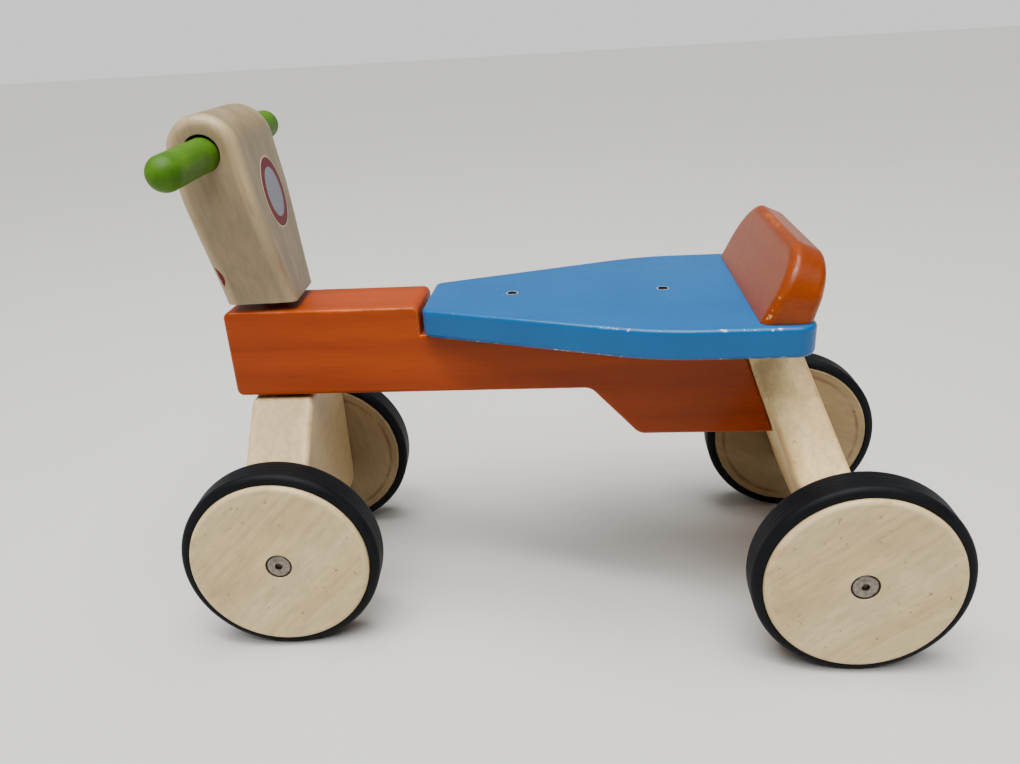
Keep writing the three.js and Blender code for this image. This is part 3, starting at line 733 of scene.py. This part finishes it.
def printed_film(name, colour, worn):
    """A thin printed sticker, faded in patches and scuffed."""
    look = Look(name)
    patches = look.noise(look.place, 300, 5, 0.7)
    shade = look.mix(look.ramp(patches, [(0.4, 0), (0.75, 0.5)]), colour, worn)
    look.set(Base_Color=shade, Roughness=look.spread(patches, 0.4, 0.6), Specular_IOR_Level=0.15)
    look.bump(patches, 0.15, mm(0.05))
    return look.material


SOCKET_MOUTH = TYRE_WIDTH + DISC_PROUD - GAP - 0.4  # height below which the hex socket gets painted shade
ALONG_Y = (0, 0, 90)  # turns that lay the grain along a piece, in degrees
UP_POST = (0, -81, 0)
DOWN_REAR_BLOCK = (0, -70, 0)
LOOKS = {
    "beam": orange_stain("orange_stain_beam", (0.32, 0.042, 0.0), (0.235, 0.028, 0.0), coat=0.06),
    "backrest": orange_stain("orange_stain_backrest", (0.22, 0.034, 0.001), (0.17, 0.025, 0.0005), ALONG_Y),
    "seat": blue_paint(),
    "bar": green_paint(),
    "tyre": tyre_rubber(),
    "bolt": zinc_steel("bolt_steel", True, SOCKET_MOUTH),
    "steel": zinc_steel("inner_steel", False),
    "nylon": nylon(),
    "dowel": bare_dowel(),
    # The pale rims of the post and the front block are a painted highlight along their bevels.
    "post": pale_wood("post_wood", (0.28, 0.207, 0.112), (0.185, 0.132, 0.068), UP_POST, specks=0.3,
                      flecks=0.55, rim=(0.5, 0.385, 0.21)),
    "front_block": pale_wood("front_block_wood", (0.53, 0.37, 0.165), (0.45, 0.3, 0.125), ALONG_Y,
                             rim=(0.75, 0.58, 0.34)),
    # The rear block's base is much paler than the other pale woods: partly its own pale wood, partly painted
    # light for the light reaching under the seat.
    "rear_block": pale_wood("rear_block_wood", (0.88, 0.63, 0.29), (0.77, 0.52, 0.22), DOWN_REAR_BLOCK),
    "ring": printed_film("badge_red", (0.12, 0.004, 0.007), (0.16, 0.03, 0.03)),
    "rim": printed_film("badge_cream", (0.55, 0.46, 0.34), (0.45, 0.34, 0.22)),
    "middle": printed_film("badge_grey", (0.2, 0.21, 0.24), (0.3, 0.3, 0.32)),
}


# ---------- wheels ----------
def tyre_mesh():
    inner = WHEEL_RADIUS - TYRE_THICKNESS
    side = (TYRE_WIDTH - TYRE_RIB_WIDTH) / 2
    middle = WHEEL_RADIUS - TYRE_EDGE
    tread = []
    flat = TYRE_WIDTH - 2 * TYRE_EDGE
    for i in range(1, TREAD_STEPS):
        groove = 0 if i % TREAD_STEPS_PER_GROOVE else TREAD_GROOVE
        tread.append((WHEEL_RADIUS - groove, TYRE_EDGE + flat * i / TREAD_STEPS))
    points = [(inner, TYRE_WIDTH - side), (inner - TYRE_RIB_HEIGHT, TYRE_WIDTH - side)]
    points += [(inner - TYRE_RIB_HEIGHT, side), (inner, side), (inner, SHARP_EDGE), (inner + SHARP_EDGE, 0)]
    points += arc((middle, TYRE_EDGE), TYRE_EDGE, -90, 0, 10)
    points += tread
    points += arc((middle, TYRE_WIDTH - TYRE_EDGE), TYRE_EDGE, 0, 90, 10)
    points += [(inner + SHARP_EDGE, TYRE_WIDTH), (inner, TYRE_WIDTH - SHARP_EDGE)]
    return lathe(points + points[:1], TYRE_SEGMENTS)


def disc_mesh():
    radius = WHEEL_RADIUS - TYRE_THICKNESS - GAP
    thick = TYRE_WIDTH + DISC_PROUD
    bore = BUSH_RADIUS + GAP
    recess = BOLT_HEAD_RADIUS + 3 * GAP
    recess_floor = thick - BOLT_HEAD_HEIGHT - 2 * GAP
    side = (TYRE_WIDTH - TYRE_RIB_WIDTH) / 2 - GAP
    groove = radius - TYRE_RIB_HEIGHT
    middle = radius - DISC_EDGE
    points = [(bore, 0)]
    points += [(radius * share, 0) for share in (0.3, 0.5, 0.7, 0.85)]
    points += arc((radius - DISC_BACK_EDGE, DISC_BACK_EDGE), DISC_BACK_EDGE, -90, 0, 5)
    points += [(radius, side), (groove, side), (groove, TYRE_WIDTH - side), (radius, TYRE_WIDTH - side)]
    points += arc((middle, thick - DISC_EDGE), DISC_EDGE, 0, 90, 10)
    points += [(radius * share, thick) for share in (0.92, 0.8, 0.6, 0.4, 0.25)]
    points += [(recess + SHARP_EDGE, thick), (recess, thick - SHARP_EDGE)]
    points += [(recess, recess_floor), (bore, recess_floor)]
    mesh = lathe(points + points[:1], DISC_SEGMENTS)
    edge_wear_and_highlight = mesh.verts.layers.float.new("edge_wear_and_highlight")
    for vert in mesh.verts:
        reach = math.hypot(vert.co.x, vert.co.z)
        outer = reach > middle - 0.5 and vert.co.y > TYRE_WIDTH - side
        vert[edge_wear_and_highlight] = DISC_RIM_WEAR if outer else 0.0
    return mesh


def bolt_mesh():
    top = TYRE_WIDTH + DISC_PROUD - GAP
    bottom = top - BOLT_HEAD_HEIGHT
    shoulder = GAP - HUB_GAP
    end = shoulder - BOLT_THREAD_LENGTH
    ring = BOLT_HEAD_RADIUS
    points = [(0, end), (BOLT_THREAD_RADIUS - BOLT_CHAMFER, end), (BOLT_THREAD_RADIUS, end + BOLT_CHAMFER)]
    points += [(BOLT_THREAD_RADIUS, shoulder), (BOLT_SHANK_RADIUS, shoulder), (BOLT_SHANK_RADIUS, bottom)]
    points += [(ring, bottom), (ring, top - HEAD_SIDE), (ring - HEAD_TURN, top - HEAD_TURN)]
    points += [(ring - BOLT_CHAMFER, top)]
    outer, inner = HEAD_GROOVE
    points += [(ring * outer, top), (ring * (outer - HEAD_GROOVE_SLOPE), top - HEAD_GROOVE_DEPTH)]
    points += [(ring * (inner + HEAD_GROOVE_SLOPE), top - HEAD_GROOVE_DEPTH), (ring * inner, top)]
    points += [(0, top)]
    socket = barrel(HEX_SOCKET / math.sqrt(3), top - HEX_DEPTH, top + 1, segments=HEX_SIDES)
    return cut(lathe(points, BOLT_SEGMENTS), socket)


def wheel_place(name):
    """Local y = 0 on the wheel's inner face and +Y outwards, as a matrix in metres."""
    joint = JOINTS[name + "_spin"]
    middle = Vector(joint["pos_m"])
    outward = Vector(joint["axis"])
    if name.endswith("right_wheel"):
        outward = -outward
    up = Vector((0, 0, 1))
    across = outward.cross(up)
    turn = Matrix((across, outward, up)).transposed().to_4x4()
    return Matrix.Translation(middle - outward * mm(TYRE_WIDTH / 2)) @ turn


# Direction of the wood's grain on each disc, in degrees, and the body that holds its bolt.
WHEELS = {
    "front_left": (43, "steering"),
    "front_right": (72, "steering"),
    "rear_left": (38, "chassis"),
    "rear_right": (25, "chassis"),
}
RUBBED_RING = 56  # radius on the inner faces


def make_wheels():
    for place, (grain, holder) in WHEELS.items():
        body = place + "_wheel"
        matrix = wheel_place(body)
        wood = pale_wood(place + "_disc_wood", (0.63, 0.48, 0.255), (0.545, 0.4, 0.19), (0, grain, 0), 0.6,
                         specks=0.3, flecks=0.38, ring=RUBBED_RING, rim=(0.62, 0.48, 0.26))
        parts = [
            ("_rubber_tyre", tyre_mesh(), body, "_tyre", LOOKS["tyre"], "tyre_rubber", 50),
            ("_wood_disc", disc_mesh(), body, "_wheel_disc", wood, "disc_wood", 40),
            ("_flat_head_bolt", bolt_mesh(), holder, "_axle_bolt", LOOKS["bolt"], "steel", 40),
        ]
        for name, mesh, rides_on, node, look, slot, sharp in parts:
            piece(place + name, mesh, rides_on, [place + node], look, matrix, sharp)


# ---------- chassis ----------
def block_joint_x(z, offset=0.0):
    """Front face of the leaning rear block at a height."""
    lean = math.tan(math.radians(BLOCK_LEAN))
    run = REAR_BLOCK_THICKNESS / 2 / math.cos(math.radians(BLOCK_LEAN))
    return REAR_AXLE_X + (z - AXLE_Z) * lean + run + offset / math.cos(math.radians(BLOCK_LEAN))


def hole_for(node, axis, clearance=GAP, from_z=None, to_z=None):
    """A bar that makes room for a straight inner piece along Y or Z, from its box."""
    low, high = corners(node)
    place = (low + high) / 2
    index = "XYZ".index(axis)
    radius = (high.x - low.x) / 2 + clearance
    start = low[index] - clearance if from_z is None else from_z
    end = high[index] + clearance if to_z is None else to_z
    place[index] = 0
    return barrel(radius, start, end, axis, HOLE_SEGMENTS, place)


def beam_mesh():
    top, bottom, under = BEAM_HIGH.z, BEAM_LOW.z, BEAM_UNDERSIDE
    floor = SEAT_LOW.z - GAP
    notch = SEAT_HIGH.x + NOTCH_GAP
    drop_rear = block_joint_x(bottom, GAP)
    drop_front = drop_rear + BEAM_DROP_LENGTH
    outline = rounded([
        (BEAM_HIGH.x, under, BEAM_CORNER),
        (BEAM_HIGH.x, top, BEAM_CORNER),
        (notch, top, BEAM_CORNER),
        (notch, floor, 0),
        (block_joint_x(floor, GAP), floor, 0),
        (drop_rear, bottom, 0),
        (drop_front, bottom, 2 * BEAM_CORNER),
        (drop_front + BEAM_DROP_RUN, under, 2 * BEAM_CORNER),
    ])
    mesh = slab(outline, BEAM_HALF_WIDTH, BEAM_EDGE, grid=9)
    stand_up(mesh)
    return mesh


def seat_mesh():
    nose, full = SEAT_NOSE_WIDTH / 2, SEAT_WIDTH / 2
    left = [
        (SEAT_HIGH.x, nose, SEAT_NOSE_CORNER),
        (SEAT_HIGH.x - SEAT_TAPER, full, SEAT_SIDE_BLEND),
        (SEAT_LOW.x, full, SEAT_CORNER),
    ]
    right = [(x, -y, radius) for x, y, radius in reversed(left)]
    mesh = slab(rounded(left + right, 3), SEAT_THICKNESS / 2, SEAT_EDGE, grid=9)
    mesh.transform(Matrix.Translation((0, 0, SEAT_LOW.z + SEAT_THICKNESS / 2)))
    return mesh


def backrest_mesh():
    half = BACKREST_WIDTH / 2
    below = -2 * BACKREST_EDGE
    outline = rounded([
        (-half, below, 0),
        (half, below, 0),
        (half, BACKREST_HEIGHT, BACKREST_CORNER),
        (-half, BACKREST_HEIGHT, BACKREST_CORNER),
    ], 4)
    mesh = slab(outline, BACKREST_DEPTH / 2, BACKREST_EDGE, grid=5, bevel_steps=9)
    face_front(mesh)
    front_lean = math.tan(math.radians(BACKREST_FRONT_LEAN))
    rear_lean = math.tan(math.radians(BACKREST_REAR_LEAN))
    rear_x = BACKREST_FRONT_X - BACKREST_DEPTH
    for vert in mesh.verts:
        share = vert.co.x / BACKREST_DEPTH + 0.5
        z = vert.co.z * (1 - (1 - share) * BACKREST_REAR_DROP / BACKREST_HEIGHT)
        front = BACKREST_FRONT_X - z * front_lean
        rear = rear_x - z * rear_lean
        vert.co.x = rear + (front - rear) * share
        vert.co.z = z
    cut_level(mesh, 0, True)
    mesh.transform(Matrix.Translation((0, 0, BACKREST_FOOT_Z)))
    return mesh


def cut_level(mesh, height, keep_above):
    """Cuts away everything below or above a height and closes the cut."""
    everything = mesh.verts[:] + mesh.edges[:] + mesh.faces[:]
    sides = {"clear_inner": keep_above, "clear_outer": not keep_above}
    bmesh.ops.bisect_plane(mesh, geom=everything, plane_co=(0, 0, height), plane_no=(0, 0, 1), **sides)
    rim = [edge for edge in mesh.edges if edge.is_boundary]
    bmesh.ops.contextual_create(mesh, geom=rim)
    mesh.normal_update()


def block_outline(half, top, shoulder_top, shoulder_bottom, bottom):
    neck = BEAM_HALF_WIDTH
    right = [(half, bottom, BLOCK_CORNER), (half, shoulder_bottom, BLOCK_CORNER)]
    if shoulder_top < top:
        right.append((neck, shoulder_top, BLOCK_CORNER))
    right.append((neck, top, BLOCK_EDGE + 1))
    left = [(-y, z, radius) for y, z, radius in reversed(right)]
    return rounded(right + left)


def rear_block_mesh():
    """Local z = 0 on the axle, upright. It is leaned by its place."""
    along = 1 / math.cos(math.radians(BLOCK_LEAN))
    floor = SEAT_LOW.z - GAP
    outline = block_outline(
        REAR_BLOCK_HALF,
        (floor + REAR_BLOCK_THICKNESS - AXLE_Z) * along,
        (SEAT_LOW.z - REAR_SHOULDER_DROP - AXLE_Z) * along,
        REAR_SHOULDER_HEIGHT * along,
        -BLOCK_BELOW_AXLE,
    )
    mesh = slab(outline, REAR_BLOCK_THICKNESS / 2, BLOCK_EDGE, grid=9)
    face_front(mesh)
    lean = Matrix.Rotation(math.radians(BLOCK_LEAN), 4, "Y")
    mesh.transform(Matrix.Translation((REAR_AXLE_X, 0, AXLE_Z)) @ lean)
    cut_level(mesh, floor, False)
    return mesh


def make_chassis():
    screws = ["seat_screw_front", "seat_screw_rear"]
    tools = [hole_for("steering_bush_lower", "Z", GAP, BEAM_UNDERSIDE - 1, BEAM_HIGH.z + 1)]
    tools += [hole_for(screw, "Z") for screw in screws]
    piece("orange_beam", cut(beam_mesh(), *tools), "chassis", ["main_beam"], LOOKS["beam"])
    tools = [hole_for(screw, "Z", GAP, to_z=SEAT_HIGH.z + 1) for screw in screws]
    piece("blue_seat", cut(seat_mesh(), *tools), "chassis", ["seat_board"], LOOKS["seat"])
    piece("orange_backrest", backrest_mesh(), "chassis", ["backrest"], LOOKS["backrest"])
    tools = [hole_for(node, "Y", 2 * GAP) for node in ("rear_left_axle_insert", "rear_right_axle_insert")]
    block = cut(rear_block_mesh(), *tools)
    piece("rear_wood_block", block, "chassis", ["rear_axle_block"], LOOKS["rear_block"])


# ---------- steering ----------
def steering_place():
    turn = Matrix.Rotation(math.radians(STEER_AT_REST), 4, "Z")
    return Matrix.Translation((mm(PIVOT_X), 0, 0)) @ turn


def post_x(height):
    """The middle of the leaning post at a height above its foot."""
    return POST_FORWARD + height * math.tan(math.radians(POST_LEAN))


def post_width(height):
    share = min(1, max(0, height / POST_WIDENING_HEIGHT))
    blend = share - POST_EASE * math.sin(2 * math.pi * share) / (2 * math.pi)
    return POST_FOOT_WIDTH + (POST_HEAD_WIDTH - POST_FOOT_WIDTH) * blend


def post_mesh():
    below = -2 * POST_EDGE
    head = (post_x(BAR_HEIGHT), BAR_HEIGHT)
    outline = [(post_x(below) - POST_HALF_RUN, below), (post_x(below) + POST_HALF_RUN, below)]
    outline += arc(head, POST_THICKNESS / 2, -POST_LEAN, 180 - POST_LEAN, 48)
    mesh = slab(outline, POST_HEAD_WIDTH / 2, POST_EDGE, grid=6, bevel_steps=9)
    stand_up(mesh)
    for vert in mesh.verts:
        vert.co.y *= post_width(vert.co.z) / POST_HEAD_WIDTH
    cut_level(mesh, 0, True)
    reach = POST_HEAD_WIDTH
    at_bar = (head[0], 0, head[1])
    hole = barrel(BAR_RADIUS + BAR_PLAY, -reach, reach, "Y", BAR_HOLE_SEGMENTS, at_bar)
    low, high = corners("post_insert")
    socket = barrel((high.x - low.x) / 2 + GAP, -1, high.z - POST_FOOT_Z + GAP, "Z")
    mesh = cut(mesh, hole, socket)
    mesh.transform(Matrix.Translation((0, 0, POST_FOOT_Z)))
    return mesh


def bar_mesh():
    straight = BAR_LENGTH / 2 - BAR_RADIUS
    points = arc((0, -straight), BAR_RADIUS, -90, 0, 16)
    points += [(BAR_RADIUS, -straight + 2 * straight * i / 24) for i in range(1, 24)]
    points += arc((0, straight), BAR_RADIUS, 0, 90, 16)
    return lathe(points, BAR_SEGMENTS)


def front_block_mesh():
    outline = block_outline(
        FRONT_BLOCK_HALF,
        FRONT_BLOCK_TOP,
        FRONT_BLOCK_TOP,
        AXLE_Z + FRONT_SHOULDER_HEIGHT,
        AXLE_Z - BLOCK_BELOW_AXLE,
    )
    mesh = slab(outline, FRONT_BLOCK_LENGTH / 2, BLOCK_EDGE, grid=9)
    face_front(mesh)
    half = FRONT_BLOCK_HALF
    radius = INSERT_RADIUS + 2 * GAP
    at_axle = (0, 0, AXLE_Z)
    tools = [
        barrel(radius, -half - 1, -half + INSERT_DEPTH, "Y", HOLE_SEGMENTS, at_axle),
        barrel(radius, half - INSERT_DEPTH, half + 1, "Y", HOLE_SEGMENTS, at_axle),
        barrel(SPINDLE_RADIUS + GAP, 0, FRONT_BLOCK_TOP + 1, "Z"),
        barrel(SPINDLE_HEAD_RADIUS + 2 * GAP, 0, SPINDLE_HEAD_TOP, "Z"),
    ]
    return cut(mesh, *tools)


def make_steering():
    turned = steering_place()
    piece("wooden_post", post_mesh(), "steering", ["steering_post"], LOOKS["post"], turned)
    at_bar = turned @ Matrix.Translation((mm(post_x(BAR_HEIGHT)), 0, mm(POST_FOOT_Z + BAR_HEIGHT)))
    at_bar = at_bar @ Matrix.Rotation(math.radians(-BAR_TILT), 4, "X")
    piece("green_handlebar", bar_mesh(), "steering", ["handlebar"], LOOKS["bar"], at_bar)
    block, wood = front_block_mesh(), LOOKS["front_block"]
    piece("front_wood_block", block, "steering", ["front_axle_block"], wood, turned)


def oval_plate(half_width, half_height, thickness, edge=0.12):
    angles = [2 * math.pi * i / BADGE_SEGMENTS for i in range(BADGE_SEGMENTS)]
    outline = [(half_width * math.cos(a), half_height * math.sin(a)) for a in angles]
    return slab(outline, thickness / 2, edge, grid=0, bevel_steps=3)


def make_badges():
    """A plain oval badge on the post's rear face and a plain sticker low on its front face."""
    lean = Matrix.Rotation(math.radians(POST_LEAN), 4, "Y")
    place = (mm(post_x(BADGE_HEIGHT) - POST_HALF_RUN), mm(BADGE_ASIDE), mm(POST_FOOT_Z + BADGE_HEIGHT))
    place = steering_place() @ Matrix.Translation(place) @ lean
    # name, half width, half height, thickness, look
    plates = [
        ("badge_outline", 22.6, 24.9, 0.30, "rim"),
        ("badge_ring", 21.7, 24.0, 0.42, "ring"),
        ("badge_middle", 15.5, 17.2, 0.54, "middle"),
    ]
    for name, half_width, half_height, thickness, look in plates:
        mesh = oval_plate(half_width, half_height, thickness)
        face_front(mesh)
        piece(name, mesh, "steering", [], LOOKS[look], place)
    foot = steering_place() @ Matrix.Translation((0, 0, mm(POST_FOOT_Z)))
    piece("wrapped_front_sticker", wrapped_sticker(), "steering", [], LOOKS["ring"], foot)


def on_post_front(across, height, lift):
    """A point above the post's front face, whose left edge is rounded."""
    half = post_width(height) / 2
    flat = half - POST_EDGE
    front = post_x(height) + POST_HALF_RUN
    if across <= flat:
        return front + lift, across, height
    angle = (across - flat) / POST_EDGE
    reach = POST_EDGE + lift
    return front - POST_EDGE + reach * math.cos(angle), flat + reach * math.sin(angle), height


def wrapped_sticker():
    """A plain oval sticker low on the post's front face, folded over its left edge."""
    mesh = bmesh.new()
    around, rings = STICKER_SEGMENTS, STICKER_RINGS
    rims = []
    for lift in (STICKER_THICKNESS, STICKER_SINK):
        middle = mesh.verts.new(on_post_front(STICKER_ASIDE, STICKER_HEIGHT, lift))
        layer = []
        for ring in range(1, rings + 1):
            share = ring / rings
            row = []
            for i in range(around):
                angle = 2 * math.pi * i / around
                across = STICKER_ASIDE + STICKER_HALF_WIDTH * share * math.cos(angle)
                height = STICKER_HEIGHT + STICKER_HALF_HEIGHT * share * math.sin(angle)
                row.append(mesh.verts.new(on_post_front(across, height, lift)))
            layer.append(row)
        for i in range(around):
            j = (i + 1) % around
            mesh.faces.new((middle, layer[0][i], layer[0][j]))
            for inner, outer in zip(layer, layer[1:]):
                mesh.faces.new((inner[i], outer[i], outer[j], inner[j]))
        rims.append(layer[-1])
    upper, lower = rims
    for i in range(around):
        j = (i + 1) % around
        mesh.faces.new((upper[i], upper[j], lower[j], lower[i]))
    bmesh.ops.recalc_face_normals(mesh, faces=mesh.faces[:])
    return mesh


# ---------- carried-over pieces ----------
def finish_kept_nodes():
    for name, node in NODES.items():
        if node.hide_render:
            continue
        if "dowel" in name:
            look = "dowel"
        elif any(word in name for word in ("screw", "bolt", "insert", "spindle")):
            look = "steel"
        else:
            look = "nylon"
        node.data.materials.clear()
        node.data.materials.append(LOOKS[look])


# ---------- room ----------
FLOOR_HALF = 12  # metres
SKY_POWER = 4.6
SKY_SPREAD = 60  # degrees
SKY_TILT = 18  # degrees, towards the rider's left
LIGHT_TARGET = (0, 0, 0.1)
TUBE_SIZE = (1.4, 0.2)
TUBES = {"tube_front": ((0.25, 0.55, 1.9), 26), "tube_back": ((-0.1, -0.1, 2.0), 14)}  # place, watts
HORIZON = (0.98, 0.99, 0.97)
CEILING = (0.36, 0.36, 0.35)
NEAR_WALL = (0.22, 0.22, 0.22)  # share of the band's light left on the dim side
TOWARDS_NEAR_WALL = (-0.6, 0.8, 0)
CAMERA_PLACE = (-0.0301, 0.5808, 0.4108)
CAMERA_YAW = 0.09986  # radians, towards +X from straight across
CAMERA_PITCH = 0.39830  # down
CAMERA_ROLL = -0.06138
CAMERA_LENS = 30.06


def make_floor():
    mesh = bmesh.new()
    half = FLOOR_HALF
    for x, y in ((-half, -half), (half, -half), (half, half), (-half, half)):
        mesh.verts.new((x, y, 0))
    mesh.faces.new(mesh.verts[:])
    floor = as_object(mesh, "floor")
    look = Look("floor", False)
    cloud = look.noise(look.place, 3, 3)
    look.set(Base_Color=look.mix(cloud, (0.54, 0.53, 0.505), (0.57, 0.56, 0.535)), Roughness=0.6)
    look.set(Specular_IOR_Level=0.3)
    floor.data.materials.append(look.material)


def make_tubes():
    for name, (place, power) in TUBES.items():
        data = bpy.data.lights.new(name, "AREA")
        data.shape = "RECTANGLE"
        data.size, data.size_y = TUBE_SIZE
        data.energy = power
        lamp = put_in_scene(name, data)
        lamp.location = place
        lamp.rotation_mode = "QUATERNION"
        lamp.rotation_quaternion = (Vector(LIGHT_TARGET) - Vector(place)).to_track_quat("-Z", "Y")


def make_sky_light():
    """Soft, even light from above, a little from the rider's left."""
    data = bpy.data.lights.new("sky", "SUN")
    data.energy = SKY_POWER
    data.angle = math.radians(SKY_SPREAD)
    lamp = put_in_scene("sky", data)
    lamp.rotation_euler = (math.radians(-SKY_TILT), 0, 0)


def make_world():
    """A dim room with a pale band at the height of the horizon, dimmer behind the rider's left."""
    world = bpy.data.worlds.new("room")
    world.use_nodes = True
    tree = world.node_tree
    toward = tree.nodes.new("ShaderNodeTexCoord")
    split = tree.nodes.new("ShaderNodeSeparateXYZ")
    tree.links.new(toward.outputs["Generated"], split.inputs[0])
    band = tree.nodes.new("ShaderNodeValToRGB")
    tree.links.new(split.outputs["Z"], band.inputs["Fac"])
    band.color_ramp.elements[0].position = 0.05
    band.color_ramp.elements[0].color = (*HORIZON, 1)
    band.color_ramp.elements[1].position = 0.1
    band.color_ramp.elements[1].color = (*CEILING, 1)
    nearer = tree.nodes.new("ShaderNodeVectorMath")
    nearer.operation = "DOT_PRODUCT"
    nearer.inputs[1].default_value = TOWARDS_NEAR_WALL
    tree.links.new(toward.outputs["Generated"], nearer.inputs[0])
    side = tree.nodes.new("ShaderNodeValToRGB")
    tree.links.new(nearer.outputs["Value"], side.inputs["Fac"])
    side.color_ramp.elements[0].color = (1, 1, 1, 1)
    side.color_ramp.elements[1].position = 0.3
    side.color_ramp.elements[1].color = (*NEAR_WALL, 1)
    both = tree.nodes.new("ShaderNodeMix")
    both.data_type = "RGBA"
    both.blend_type = "MULTIPLY"
    both.inputs[0].default_value = 1
    tree.links.new(band.outputs["Color"], both.inputs[6])
    tree.links.new(side.outputs["Color"], both.inputs[7])
    background = tree.nodes["Background"]
    tree.links.new(both.outputs[2], background.inputs["Color"])
    bpy.context.scene.world = world


def make_camera():
    cosp, sinp = math.cos(CAMERA_PITCH), math.sin(CAMERA_PITCH)
    forward = Vector((math.sin(CAMERA_YAW) * cosp, -math.cos(CAMERA_YAW) * cosp, -sinp))
    right = Vector((-math.cos(CAMERA_YAW), -math.sin(CAMERA_YAW), 0))
    up = right.cross(forward)
    cosr, sinr = math.cos(CAMERA_ROLL), math.sin(CAMERA_ROLL)
    columns = (right * cosr + up * sinr, up * cosr - right * sinr, -forward)
    data = bpy.data.cameras.new("camera")
    data.lens = CAMERA_LENS
    data.clip_start = 0.01
    camera = put_in_scene("camera", data)
    camera.matrix_world = Matrix.Translation(CAMERA_PLACE) @ Matrix(columns).transposed().to_4x4()
    bpy.context.scene.camera = camera


make_camera()
make_world()
make_sky_light()
make_tubes()
make_floor()
make_wheels()
make_chassis()
make_steering()
make_badges()
finish_kept_nodes()
